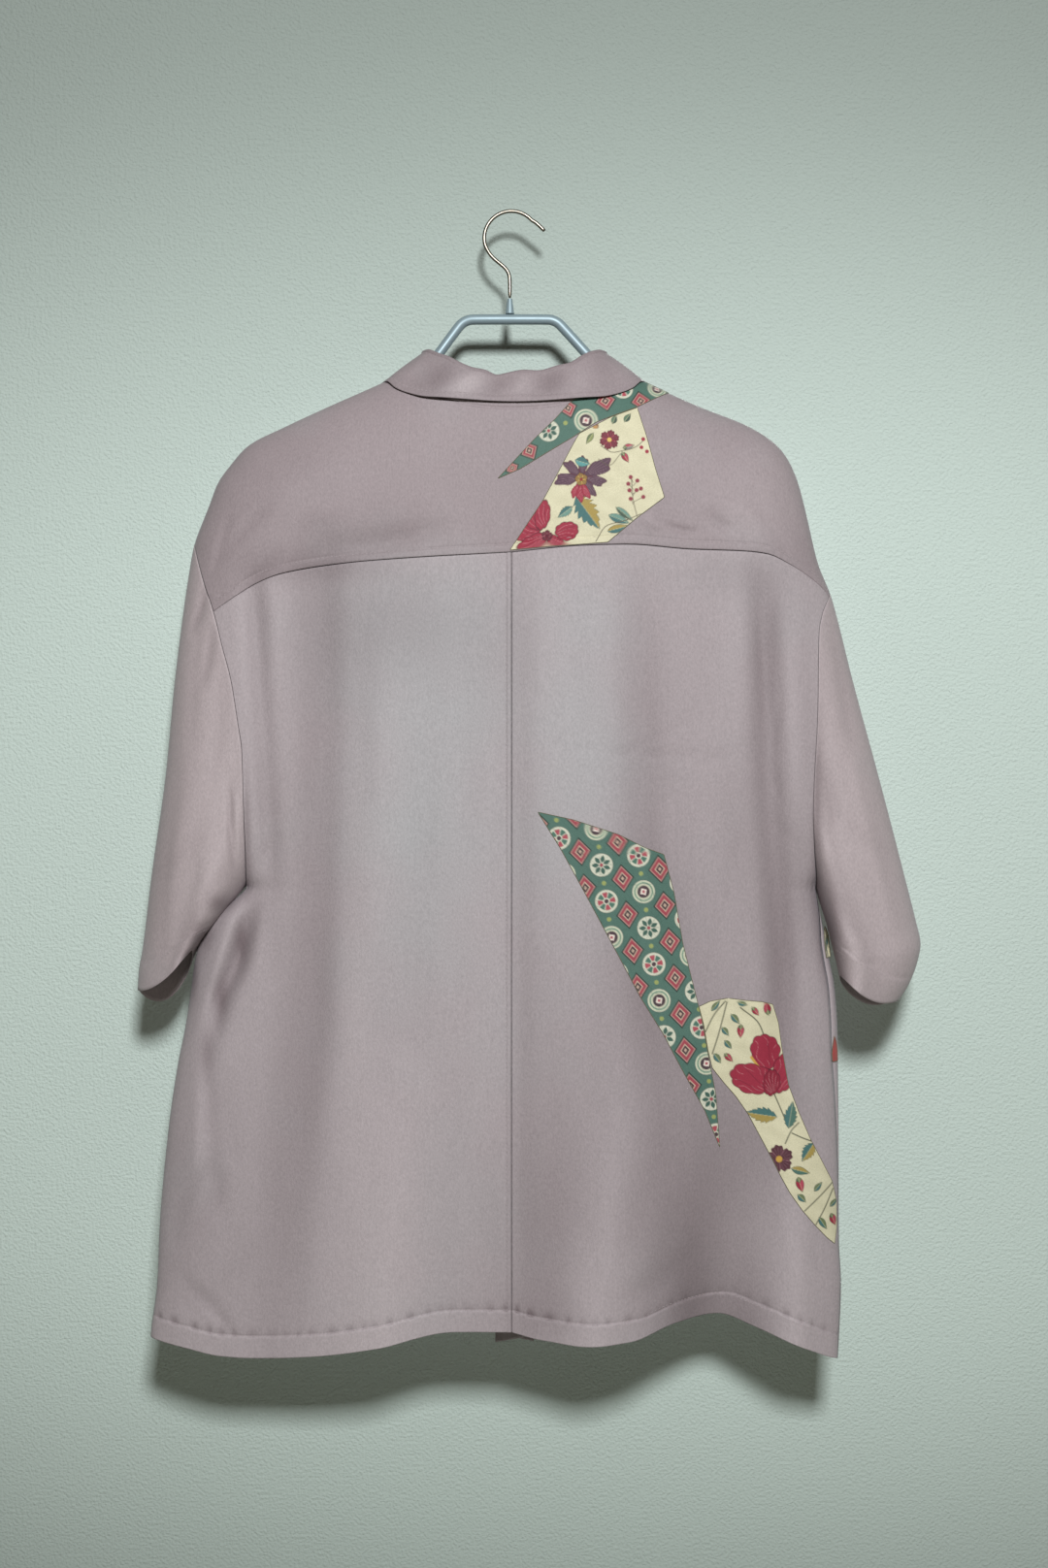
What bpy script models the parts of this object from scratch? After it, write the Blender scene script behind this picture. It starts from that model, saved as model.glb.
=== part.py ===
"""Short-sleeved shirt with an open collar, hanging on a hanger bent from round tube.

Frame: the origin is inside the top of the hook, +Z is up, the shirt's back faces -Y and
the wearer's left is at -X.  The hanger lies in the plane y = 0.

Sizes below are millimetres; MM turns them to metres where a mesh is made.  In a table,
"out" is a distance from the middle plane towards the side that the table belongs to.
"""
import math
from collections import namedtuple

import bmesh
import bpy
import numpy as np

MM = 0.001

# cloth
WALL = 1.2                # thickness of the cloth wall
SEAM_GAP = 0.5            # between two pieces along a flat seam
ARMHOLE_GAP = 1.0         # between the sleeve's first ring and the body
SIDE_TURN = 0.020         # half the gap of the side seam, as an angle round the body
VENT_TURN = 0.022         # what the vent adds to it at the hem
VENT_TOP = -824.0         # where the side vents start
ROUND_WIDTH = 75.0        # width over which the cloth rounds away from its outline
SIDE_POWER = 5            # fullness of the body's section: 2 is an ellipse
ARM_HOLD = 0.7            # share of the armhole's height that stays at full depth
OVER_RIDGE = 3.5          # drop of the yoke's front edge below the shoulder ridge
YOKE_PROUD = 0.6          # how far the yoke stands out over the back at its seam
OVERLAP = 15.0            # each front crosses the middle by this
OVERLAP_STEP = 0.9        # half the step between the two fronts there
STEP_FADE = (22.0, 42.0)  # the step fades out between these distances from the middle
NECK_HALF = 80.0          # half the width of the neck opening
NECK_LOW = -158.0         # middle of the back neck seam
NECK_RISE = 38.0          # its rise to the shoulder
SLEEVE_LENGTHS = (350.0, 50.0)    # along the sleeve's outer fold and its underarm
SLEEVE_SWELL = 3.0        # fullness of the sleeve low down between its ends

# rows and columns of the sheets
PANEL_ROWS = 24
SLEEVE_CELLS = (28, 12)
COLLAR_CELLS = (36, 10)
LAPEL_CELLS = (5, 10)
YOKE_ROWS = 10
YOKE_RIDGE_ROW = 8
NECK_COLUMNS = (0, .3, .58, .8, .93, .98, .995, 1)      # shares of the neck's half
SHOULDER_COLUMNS = (0, .025, .1, .2, .3, .4, .5, .6, .69, .77, .84, .90, .95, .985, 1)
OUTLINE_STEPS = 90

# hanger
TUBE_RADIUS = 4.0
WIRE_RADIUS = 1.6
HANGER_MIDDLE = -3.5
BAR_HEIGHT = -82.5
BAR_CORNERS = (-39.0, 32.0)
BEND_RADIUS = 15.0
ARM_BEND = 12.0           # radius of the bend between a steep leg and its shoulder arm
ARM_START = 70.0          # where the steep legs turn into the shoulder arms
ARM_REST = 95.0           # where they start to carry the cloth
ARM_SINK = 1.5            # how much lower they start than the cloth would have them
ARM_DROP = 6.4            # arm's centre line inside the outside of the cloth
ARM_TIPS = (-205.0, 197.5)
TIP_ROUND = ((0.5, 0.87), (0.85, 0.55), (1.0, 0.25))    # past the end, and radius, in radii
HOOK_CENTRE = (-2.3, -19.5)
HOOK_RADIUS = 21.1
HOOK_TIP = ((23.6, -14.0), (21.6, -11.9), (19.0, -9.5), (16.4, -7.0))
HOOK_SHANK = ((-19.0, -32.2), (-15.0, -36.2), (-10.6, -39.6), (-7.0, -42.6), (-4.6, -46.0),
              (HANGER_MIDDLE, -50.0), (HANGER_MIDDLE, -58.0))
SOCKET_GAP = 0.35         # between the wire's end and the socket
SOCKET = (-78.15, -66.7)  # height of its foot and of its top
SOCKET_RADII = (3.5, 1.9)

# buttons
BUTTON_RADIUS = 5.75
BUTTON_THICK = 2.4
BUTTON_GAP = 0.5          # between a button and the front that it lies on
BUTTON_HEIGHTS = (-322.0, -427.0, -532.0, -637.0, -742.0)

Point = namedtuple("Point", "out z")
Mark = namedtuple("Mark", "along out z")
Height = namedtuple("Height", "share z")
Depth = namedtuple("Depth", "z back front")
Turn = namedtuple("Turn", "z angle")
Station = namedtuple("Station", "z out deep")
Valley = namedtuple("Valley", "width stations")
Side = namedtuple("Side", "sign middle outline edge seam hem front_hem armpit cuff_in cuff_hang "
                          "turn valleys front_valleys")
Hang = namedtuple("Hang", "back front")
Collar = namedtuple("Collar", "t seam_x seam_y seam_z fold_x fold_y fold_z "
                              "rim_x rim_y rim_z")

# depth of the body behind and before the hanger's plane
DEPTHS = (Depth(-900, 25, 19), Depth(-830, 29, 22), Depth(-700, 35, 27), Depth(-520, 38, 30),
          Depth(-270, 36, 28), Depth(-80, 34, 27))

# neck edge and front edge of a front, on its own side; minus is past the middle
FRONT_EDGE = (Point(80, -121), Point(66, -150), Point(48, -196), Point(30, -245),
              Point(9, -296), Point(-13, -330), Point(-OVERLAP, -352), Point(-OVERLAP, -900))

# the outline runs from the top of the neck along the shoulder and sleeve to the cuff
LEFT = Side(
    sign=-1,
    middle=2.0,
    outline=(Point(0, -83), Point(60, -111), Point(99, -130.5), Point(144.6, -150.8),
             Point(177, -165.9), Point(206.4, -180.9), Point(220, -196), Point(230.5, -211),
             Point(236, -226), Point(242, -241), Point(247.8, -257), Point(253, -286),
             Point(263, -361.7), Point(270.4, -437), Point(281, -512), Point(288.5, -572.5),
             Point(291, -586), Point(292, -602)),
    edge=(Point(283, -890), Point(282, -870), Point(277, -829), Point(275, -783),
          Point(268, -708), Point(261.5, -663), Point(257, -628), Point(249, -600),
          Point(233, -575), Point(217, -548), Point(207, -521), Point(205, -490),
          Point(206.6, -418), Point(209.5, -398), Point(215.4, -363), Point(222, -339),
          Point(229.5, -311), Point(236.2, -293), Point(247.8, -257)),
    seam=(Height(0, -266.6), Height(.35, -271.4), Height(.58, -276), Height(.72, -282),
          Height(.82, -289.5), Height(.9, -299), Height(1, -311)),
    hem=(Height(0, -861.5), Height(.155, -861.5), Height(.37, -872.6), Height(.53, -880),
         Height(.69, -883), Height(.8, -881.6), Height(.9, -876), Height(1, -871)),
    front_hem=(Height(0, -881), Height(.1, -874), Height(.2, -867), Height(.4, -869),
               Height(.65, -876), Height(.85, -872), Height(1, -868)),
    armpit=-521.0,
    cuff_in=Point(244.8, -557),
    cuff_hang=Hang(7, 25),
    turn=(Turn(-900, 0.0), Turn(-500, 0.0)),
    valleys=(
        Valley(24, (Station(-235, 148, 0), Station(-289, 148, 7), Station(-407, 144, 10),
                    Station(-511, 148, 10), Station(-622, 157, 9), Station(-733, 174, 7),
                    Station(-880, 190, 3))),
        Valley(9, (Station(-275, 200, 0), Station(-320, 196.7, 8), Station(-450, 190, 9),
                   Station(-540, 186, 3), Station(-600, 185, 0))),
        Valley(11, (Station(-520, 198, 0), Station(-545, 202, 9), Station(-585, 213, 13),
                    Station(-617, 226, 10), Station(-700, 232, 4), Station(-760, 232, 0))),
        Valley(30, (Station(-640, 95, 0), Station(-760, 100, -5), Station(-880, 105, -8))),
        Valley(16, (Station(-600, 232, 0), Station(-660, 236, -5), Station(-790, 250, -3),
                    Station(-880, 252, 0)))),
    front_valleys=(
        Valley(22, (Station(-240, 130, 0), Station(-380, 128, 7), Station(-560, 136, 8),
                    Station(-740, 150, 6), Station(-880, 160, 3))),
        Valley(12, (Station(-500, 200, 0), Station(-575, 208, 9), Station(-650, 222, 6),
                    Station(-760, 226, 0))),
        Valley(26, (Station(-560, 70, 0), Station(-720, 76, -5), Station(-880, 82, -9)))))

RIGHT = Side(
    sign=1,
    middle=-2.0,
    outline=(Point(0, -83), Point(60, -111), Point(100, -131), Point(143.8, -150.8),
             Point(181.5, -165.9), Point(204, -181), Point(214.6, -196), Point(220.5, -211),
             Point(228, -241), Point(235, -271), Point(244.7, -295.4), Point(250.7, -316.5),
             Point(262, -361.7), Point(282.4, -437), Point(302, -512.3), Point(311, -548),
             Point(315, -567), Point(312.5, -580), Point(306, -597), Point(299, -608)),
    edge=(Point(251, -890), Point(253.5, -828), Point(252, -798), Point(251.5, -708),
          Point(250.5, -633), Point(248.5, -603), Point(243.5, -576), Point(238, -548),
          Point(233, -521), Point(228.5, -490), Point(227, -467), Point(231, -389),
          Point(233, -328), Point(236, -313), Point(244.7, -295.4)),
    seam=(Height(0, -266.6), Height(.23, -261.4), Height(.36, -260.7), Height(.55, -264.4),
          Height(.73, -265.9), Height(.79, -267.5), Height(.86, -274.7), Height(.95, -288),
          Height(1, -299)),
    hem=(Height(0, -861.5), Height(.1, -867.4), Height(.22, -869.7), Height(.37, -868),
         Height(.515, -856.5), Height(.65, -853), Height(.75, -860), Height(.87, -871.7),
         Height(1, -887.3)),
    front_hem=(Height(0, -881), Height(.1, -876), Height(.2, -863), Height(.4, -852),
               Height(.6, -846), Height(.75, -851), Height(.88, -866), Height(1, -880)),
    armpit=-521.0,
    cuff_in=Point(253, -552),
    cuff_hang=Hang(20, 32),
    turn=(Turn(-900, 0.04), Turn(-760, 0.08), Turn(-690, 0.16), Turn(-640, 0.22),
          Turn(-570, 0.20), Turn(-540, 0.08), Turn(-521, 0.0)),
    valleys=(
        Valley(12, (Station(-262, 188, 0), Station(-302, 190, 6), Station(-360, 193, 11),
                    Station(-445, 196, 12), Station(-537, 202, 11), Station(-622, 206, 7),
                    Station(-720, 206, 0))),
        Valley(16, (Station(-250, 92, 0), Station(-330, 94, 3), Station(-480, 98, 4),
                    Station(-640, 104, 2), Station(-760, 110, 0))),
        Valley(34, (Station(-640, 176, 0), Station(-718, 172, 7), Station(-790, 165, 15),
                    Station(-845, 159, 24), Station(-890, 156, 29))),
        Valley(30, (Station(-560, 118, 0), Station(-660, 100, -3), Station(-780, 72, -9),
                    Station(-890, 58, -15))),
        Valley(14, (Station(-700, 222, 0), Station(-790, 220, -4), Station(-890, 218, -7)))),
    front_valleys=(
        Valley(24, (Station(-240, 140, 0), Station(-400, 142, 6), Station(-600, 150, 8),
                    Station(-760, 160, 5), Station(-880, 166, 2))),
        Valley(12, (Station(-490, 205, 0), Station(-560, 208, 8), Station(-650, 212, 5),
                    Station(-740, 214, 0))),
        Valley(28, (Station(-600, 84, 0), Station(-760, 88, -6), Station(-880, 92, -10)))))

# the collar's half, from the middle of the back to its point; mirrored for the other
COLLAR = (
    Collar(0, 0, -32.7, -160.0, 0, -29.5, -130.0, 0, -41.0, -154.5),
    Collar(.25, 48, -28.2, -151.9, 40, -26.5, -121.5, 52, -39.0, -149.5),
    Collar(.36, 60.5, -24.5, -146.0, 52, -21.5, -114.5, 68, -34.0, -147.6),
    Collar(.45, 70, -19.4, -138.0, 61, -15.5, -110.0, 82, -27.0, -143.5),
    Collar(.52, 74.6, -14.2, -130.6, 66.5, -9.0, -107.6, 91, -21.0, -139.0),
    Collar(.58, 76.6, -3.0, -118.8, 70, -1.0, -107.3, 98, -12.0, -132.5),
    Collar(.66, 76.6, 7.4, -120.8, 70, 7.5, -109.5, 104, 6.0, -131.5),
    Collar(.76, 73.6, 12.7, -129.5, 66.5, 15.5, -116.0, 107, 17.0, -143.5),
    Collar(1, 63.6, 20.1, -151.6, 63.5, 24.5, -147.0, 96, 33.0, -205.0))
FOLD_HALF = 2.3           # half the width of the collar's roll
ROLL_SPAN = (0.35, 0.6)   # rows of the leaf between which it rolls over
FALL_BELLY = 1.5          # how far the falling part bows out

# lapel: the line that it rolls on and its free edge, on its own side
LAPEL_ROLL = (Point(3, -304), Point(9, -296), Point(30, -245), Point(48, -196),
              Point(64.2, -151.6))
LAPEL_RIM = (Point(6, -308), Point(22, -288), Point(52, -256), Point(76, -232),
             Point(91, -215))
LAPEL_LIFT = 2.0          # its outside over the front's outside
LAPEL_TUCK = 1.0          # how far it starts past the line that it rolls on
LAPEL_BELLY = 0.8         # its bow between the roll and the free edge


def read(table, key, value, at):
    """Smooth value of one column of a table, read at any keys within it."""
    rows = sorted(table, key=lambda row: getattr(row, key))
    keys = np.array([getattr(row, key) for row in rows], dtype=float)
    values = np.array([getattr(row, value) for row in rows], dtype=float)
    rates = np.diff(values) / np.diff(keys)
    both = rates[:-1] * rates[1:]
    inner = np.where(both > 0, 2 * both / (rates[:-1] + rates[1:] + (both <= 0)), 0.0)
    slopes = np.concatenate([rates[:1], inner, rates[-1:]])
    at = np.clip(np.asarray(at, dtype=float), keys[0], keys[-1])
    cell = np.clip(np.searchsorted(keys, at) - 1, 0, len(keys) - 2)
    step = keys[cell + 1] - keys[cell]
    t = (at - keys[cell]) / step
    curve = (2 * t ** 3 - 3 * t ** 2 + 1) * values[cell]
    curve += (t ** 3 - 2 * t ** 2 + t) * step * slopes[cell]
    curve += (3 * t ** 2 - 2 * t ** 3) * values[cell + 1]
    curve += (t ** 3 - t ** 2) * step * slopes[cell + 1]
    return curve


def run_along(places, t):
    """Out and height at share t of the length of a line through some places."""
    line = np.array(places, dtype=float)
    lengths = np.concatenate([[0], np.cumsum(np.hypot(*np.diff(line, axis=0).T))])
    marks = [Mark(length, *place) for length, place in zip(lengths, line)]
    at = np.asarray(t, dtype=float) * lengths[-1]
    return read(marks, "along", "out", at), read(marks, "along", "z", at)


def ease(t):
    """Smooth step from 0 to 1."""
    t = np.clip(t, 0, 1)
    return t * t * (3 - 2 * t)


def outline_line(side):
    """The side's outline as many short straight lines."""
    return np.stack(run_along(side.outline, np.linspace(0, 1, OUTLINE_STEPS)), axis=1)


LINES = {side.sign: outline_line(side) for side in (LEFT, RIGHT)}


def ridge(side, out):
    """Height of the shoulder's ridge."""
    line = LINES[side.sign]
    shoulder = line[:np.argmax(line[:, 0])]
    return np.interp(out, shoulder[:, 0], shoulder[:, 1])


def reach(side, out, z):
    """Distance from a point of the flat shirt to its outline."""
    line = LINES[side.sign]
    start, along = line[:-1], np.diff(line, axis=0)
    point = np.stack([out, z], axis=-1)[..., None, :]
    share = np.sum((point - start) * along, axis=-1) / np.sum(along * along, axis=-1)
    near = start + np.clip(share, 0, 1)[..., None] * along
    return np.min(np.linalg.norm(point - near, axis=-1), axis=-1)


def rounding(side, out, z):
    """Share of the full depth, from 0 on the outline to 1 well inside it."""
    q = np.clip(reach(side, out, z) / ROUND_WIDTH, 0, 1)
    return np.sqrt(1 - (1 - q) ** 2)


def arm_hold(q):
    """Share of the depth down the armhole, which closes at the armpit."""
    q = np.clip((q - ARM_HOLD) / (1 - ARM_HOLD), 0, 1)
    return np.sqrt(1 - q * q)


def edge_out(side, z):
    """Armhole above the armpit, side seam below it."""
    return read(side.edge, "z", "out", z)


def folds(valleys, out, z, share):
    """How far the folds push the cloth inwards."""
    total = np.zeros_like(np.asarray(out, dtype=float))
    for valley in valleys:
        middle = read(valley.stations, "z", "out", z)
        deep = read(valley.stations, "z", "deep", z)
        inside = z < valley.stations[0].z
        total += inside * deep * np.exp(-((out - middle) / valley.width) ** 2)
    return total * (1 - np.clip(share, 0, 1) ** 7)


def sheet_y(side, face, out, z):
    """Outside of the body at a place of the flat shirt, on its back or front."""
    share = np.clip((out - side.middle) / (edge_out(side, z) - side.middle), 0, 1)
    top = max(point.z for point in side.edge)
    hold = arm_hold((top - z) / (top - side.armpit)) * (z > side.armpit)
    form = hold * rounding(side, out, z) + (1 - hold) * np.sqrt(1 - share ** SIDE_POWER)
    valleys = side.valleys if face == "back" else side.front_valleys
    deep = read(DEPTHS, "z", face, z) * form - folds(valleys, out, z, share)
    return -deep if face == "back" else deep


def neck(out):
    """Height of the back neck seam."""
    return NECK_LOW + NECK_RISE * (1 - np.sqrt(1 - np.clip(out / NECK_HALF, 0, 1) ** 2))


def points(side, out, y, z):
    return np.stack([side.sign * out, y + 0 * out, z + 0 * out], axis=-1)


# making objects

def material(name, colour, roughness, metallic=0.0):
    finish = bpy.data.materials.new(name)
    finish.use_nodes = True
    shader = finish.node_tree.nodes["Principled BSDF"]
    shader.inputs["Base Color"].default_value = (*colour, 1)
    shader.inputs["Roughness"].default_value = roughness
    shader.inputs["Metallic"].default_value = metallic
    return finish


def add_object(name, data, finish):
    piece = bpy.data.objects.new(name, data)
    bpy.data.collections["shirt_on_hanger"].objects.link(piece)
    data.materials.append(finish)
    return piece


def add_sheet(name, cells, place, finish, flip=False, weld=0.0):
    """Cloth: a grid whose points are placed by a function of (u, v), given its wall."""
    mesh = bpy.data.meshes.new(name)
    sheet = bmesh.new()
    bmesh.ops.create_grid(sheet, x_segments=cells[0], y_segments=cells[1], size=0.5)
    spots = np.array([vert.co[:] for vert in sheet.verts]) + 0.5
    for vert, spot in zip(sheet.verts, place(spots[:, 0], spots[:, 1]) * MM):
        vert.co = spot
    if weld:
        bmesh.ops.remove_doubles(sheet, verts=sheet.verts, dist=weld)
    if flip:
        bmesh.ops.reverse_faces(sheet, faces=sheet.faces)
    sheet.to_mesh(mesh)
    sheet.free()
    mesh.shade_smooth()
    piece = add_object(name, mesh, finish)
    wall = piece.modifiers.new("wall", "SOLIDIFY")
    wall.thickness = WALL * MM
    wall.offset = -1
    return piece


def add_rod(name, path, radius, finish, sides, radii=None):
    """Tube or wire along a path in the hanger's plane, given as (x, z) places."""
    curve = bpy.data.curves.new(name, "CURVE")
    curve.dimensions = "3D"
    curve.bevel_depth = radius * MM
    curve.bevel_resolution = sides // 2 - 2
    curve.use_fill_caps = True
    spline = curve.splines.new("POLY")
    spline.points.add(len(path) - 1)
    for index, (x, z) in enumerate(path):
        spline.points[index].co = (x * MM, 0, z * MM, 1)
        spline.points[index].radius = radii[index] if radii else 1.0
    return add_object(name, curve, finish)


# cloth pieces

NECK_CELLS = len(NECK_COLUMNS) - 1
SHOULDER_CELLS = len(SHOULDER_COLUMNS) - 1
BACK_COLUMNS = NECK_CELLS + SHOULDER_CELLS


def neck_share(side):
    """Share of the half width at which the neck opening ends."""
    full = max(point.out for point in side.edge if point.z > side.armpit)
    return (NECK_HALF - side.middle) / (full - side.middle)


def column_share(side, u):
    """Where the columns of the yoke and back stand, from the middle to the side."""
    first = neck_share(side)
    inner = [first * share for share in NECK_COLUMNS[:-1]]
    outer = [first + (1 - first) * share for share in SHOULDER_COLUMNS]
    return np.interp(u * BACK_COLUMNS, range(BACK_COLUMNS + 1), inner + outer)


def rows(side, share, top, low, middle_power, v):
    """Heights down a panel; on its side edge the middle row is at the armpit."""
    power = np.log((top - side.armpit) / (top - low)) / math.log(0.5)
    return top + v ** (middle_power + share ** 4 * (power - middle_power)) * (low - top)


def add_back(side, name, finish):
    """Half of the back, from the yoke seam to the hem and from the middle to the side."""
    def place(u, v):
        share = column_share(side, u)
        top = read(side.seam, "share", "z", share) - SEAM_GAP
        z = rows(side, share, top, read(side.hem, "share", "z", share), 1.0, v)
        vent = VENT_TURN * ease((VENT_TOP - z) / 20)
        turn = read(side.turn, "z", "angle", z) + (z < side.armpit + 2) * (SIDE_TURN + vent)
        share = np.sin(np.arcsin(share) * (1 - turn * 2 / math.pi))
        start = side.middle + SEAM_GAP / 2 * (1 - share)
        out = start + share * (edge_out(side, z) - start)
        return points(side, out, sheet_y(side, "back", out, z), z)
    return add_sheet(name, (BACK_COLUMNS, PANEL_ROWS), place, finish, flip=side.sign > 0)


def shoulder_place(side, share, inner, drop):
    """Where a column meets the line that lies a short way inside the ridge."""
    z = np.full_like(share, -200.0)
    for _ in range(80):
        start = inner(z)
        out = start + share * (edge_out(side, z) - start)
        slope = (ridge(side, out + 1) - ridge(side, out - 1)) / 2
        z = z + 0.3 * (ridge(side, out) - drop * np.sqrt(1 + slope ** 2) - z)
    return out, z


def over_ridge(share):
    """Drop of the shoulder seam below the ridge, from the neck point to the armhole."""
    return OVER_RIDGE * (0.1 + 0.9 * ease(share / 0.1))


def add_yoke(finish):
    """One piece over both shoulders, from the back seam to just in front of the ridge."""
    ridge_v = YOKE_RIDGE_ROW / YOKE_ROWS

    def half(side, u, v):
        share = column_share(side, u)
        past_neck = np.clip((share - neck_share(side)) / (1 - neck_share(side)), 0, 1)
        over = share > neck_share(side) - 1e-6
        top_out, top_z = shoulder_place(side, share, lambda z: side.middle + 0 * z, 0.0)
        front_out, front_z = shoulder_place(side, past_neck, front_edge, over_ridge(past_neck))
        top_z = np.where(over, top_z, neck(np.minimum(top_out, NECK_HALF)))
        low = read(side.seam, "share", "z", share)
        rise = np.sin(np.clip(v / np.where(over, ridge_v, 1), 0, 1) * math.pi / 2)
        front = np.where(over, np.clip((v - ridge_v) / (1 - ridge_v), 0, 1), 0)
        z = low + (top_z - low) * rise
        out = side.middle + share * (edge_out(side, z) - side.middle)
        out = out + (front_out - out) * front
        z = z + (front_z - z) * front ** 2
        proud = YOKE_PROUD * (1 - ease(v * 3)) * (1 - ease((share - 0.75) / 0.15))
        back_y = sheet_y(side, "back", out, z) - proud
        y = np.where(front > 0, sheet_y(side, "front", out, z), back_y)
        return points(side, out, y, z)

    def place(u, v):
        u = np.round((u - 0.5) * 2 * BACK_COLUMNS) / BACK_COLUMNS
        left = (u < 0)[:, None]
        return np.where(left, half(LEFT, abs(u), v), half(RIGHT, abs(u), v))

    return add_sheet("back_yoke", (2 * BACK_COLUMNS, YOKE_ROWS), place, finish)


def front_edge(z):
    return read(FRONT_EDGE, "z", "out", z)


def front_y(side, out, z):
    """Outside of a front: the left one lies over the right one where they cross."""
    near, far = STEP_FADE
    step = -side.sign * OVERLAP_STEP * ease((far - out) / (far - near))
    return sheet_y(side, "front", out, z) + step


def add_front(side, name, finish):
    """A front, from the shoulder seam to the hem and from its edge round to the side."""
    def place(u, v):
        share = np.interp(u * SHOULDER_CELLS, range(SHOULDER_CELLS + 1), SHOULDER_COLUMNS)
        _, top = shoulder_place(side, share, front_edge, over_ridge(share) + 2 * SEAM_GAP)
        low = read(side.front_hem, "share", "z", share)
        z = rows(side, share, top, low, 1.25, v)
        inner = front_edge(z)
        vent = VENT_TURN * ease((VENT_TOP - z) / 20)
        full = edge_out(side, z)
        meet = side.middle + np.cos(read(side.turn, "z", "angle", z)) * (full - side.middle)
        last = math.pi - np.arcsin(np.clip((meet - inner) / (full - inner), 0, 1))
        last = last - (z < side.armpit + 2) * (SIDE_TURN + vent)
        turn = np.arcsin(share) * last * 2 / math.pi
        out = inner + np.sin(turn) * (full - inner)
        behind = turn > math.pi / 2 + 1e-6
        y = np.where(behind, sheet_y(side, "back", out, z), front_y(side, out, z))
        return points(side, out, y, z)
    cells = (SHOULDER_CELLS, PANEL_ROWS)
    return add_sheet(name, cells, place, finish, flip=side.sign < 0)


def sleeve_ends(side):
    """Places down the sleeve's outer fold, from the armhole's top to the cuff."""
    top = max(point.z for point in side.edge)
    return [point for point in side.outline if point.z <= top]


def add_sleeve(side, name, finish):
    """A short wide tube, flattened: its first ring follows the armhole."""
    top = max(point.z for point in side.edge)

    def place(u, v):
        turn = u * 2 * math.pi
        q = (1 - np.cos(turn)) / 2
        arm_z = top + q * (side.armpit - top)
        arm_out = edge_out(side, arm_z)
        cuff_out, cuff_z = side.cuff_in
        length = SLEEVE_LENGTHS[0] + q * (SLEEVE_LENGTHS[1] - SLEEVE_LENGTHS[0])
        t = np.clip(v + (1 - v) * ARMHOLE_GAP / length, 0, 1)
        fold_out, fold_z = run_along(sleeve_ends(side), t)
        under_out = edge_out(side, side.armpit) + t * (cuff_out - edge_out(side, side.armpit))
        under_z = side.armpit + t * (cuff_z - side.armpit)
        start_out = edge_out(side, top) + q * (edge_out(side, side.armpit) - edge_out(side, top))
        bow = (arm_out - start_out) * (1 - t) ** 2
        out = fold_out + q * (under_out - fold_out) + bow
        z = fold_z + q * (under_z - fold_z)
        front = turn > math.pi
        hang = np.where(front, side.cuff_hang.front, side.cuff_hang.back)
        full = np.where(front, read(DEPTHS, "z", "front", z), read(DEPTHS, "z", "back", z))
        swell = SLEEVE_SWELL * np.sin(math.pi * t)
        swell *= np.sin(2 * math.pi * q) * np.sin(math.pi * q)
        deep = (full * rounding(side, out, z) * arm_hold(q) + swell) * (q > 1e-9)
        out = out + ARMHOLE_GAP * 0.8 * (1 - t) ** 4
        z = z - hang * t ** 2 * np.sin(math.pi * q) ** 0.7
        return points(side, out, np.where(front, deep, -deep), z)
    return add_sheet(name, SLEEVE_CELLS, place, finish, flip=side.sign < 0, weld=1e-5)


def add_collar(finish):
    """One leaf: it stands up from the neck seam, rolls over and falls to its free edge."""
    mirrored = tuple(row._replace(t=-row.t, seam_x=-row.seam_x, fold_x=-row.fold_x,
                                  rim_x=-row.rim_x) for row in COLLAR[1:])

    def place(u, v):
        t = (u - 0.5) * 2
        seam, fold, rim = (np.stack([read(mirrored + COLLAR, "t", line + axis, t)
                                     for axis in ("_x", "_y", "_z")], axis=-1)
                           for line in ("seam", "fold", "rim"))
        fall = rim - fold
        away = fall - fall[:, 2:] * np.array([0, 0, 1])
        away /= np.linalg.norm(away, axis=1, keepdims=True) + 1e-9
        lift = np.array([0, 0, FOLD_HALF])
        inner = fold - FOLD_HALF * away - lift
        outer = fold + FOLD_HALF * away - lift
        v = v[:, None]
        first, last = ROLL_SPAN
        roll = np.clip((v - first) / (last - first), 0, 1) * math.pi
        stand = np.clip(v / first, 0, 1)
        drop = np.clip((v - last) / (1 - last), 0, 1)
        arc = fold - lift - FOLD_HALF * away * np.cos(roll) + lift * np.sin(roll)
        place_in = seam + stand * (inner - seam)
        place_out = outer + drop * (rim - outer) + FALL_BELLY * np.sin(math.pi * drop) * away
        return np.where(v < first, place_in, np.where(v > last, place_out, arc))

    return add_sheet("collar", COLLAR_CELLS, place, finish)


def add_lapel(side, name, finish):
    """The turned-back top of a front, lying on it."""
    def place(u, v):
        roll_out, roll_z = run_along(LAPEL_ROLL, v)
        rim_out, rim_z = run_along(LAPEL_RIM, v)
        out = roll_out - LAPEL_TUCK + u * (rim_out - roll_out)
        z = roll_z + u * (rim_z - roll_z)
        lift = LAPEL_LIFT + LAPEL_BELLY * np.sin(math.pi * u)
        return points(side, out, front_y(side, np.maximum(out, roll_out), z) + lift, z)
    return add_sheet(name, LAPEL_CELLS, place, finish, flip=side.sign > 0)


# hard pieces

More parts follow.
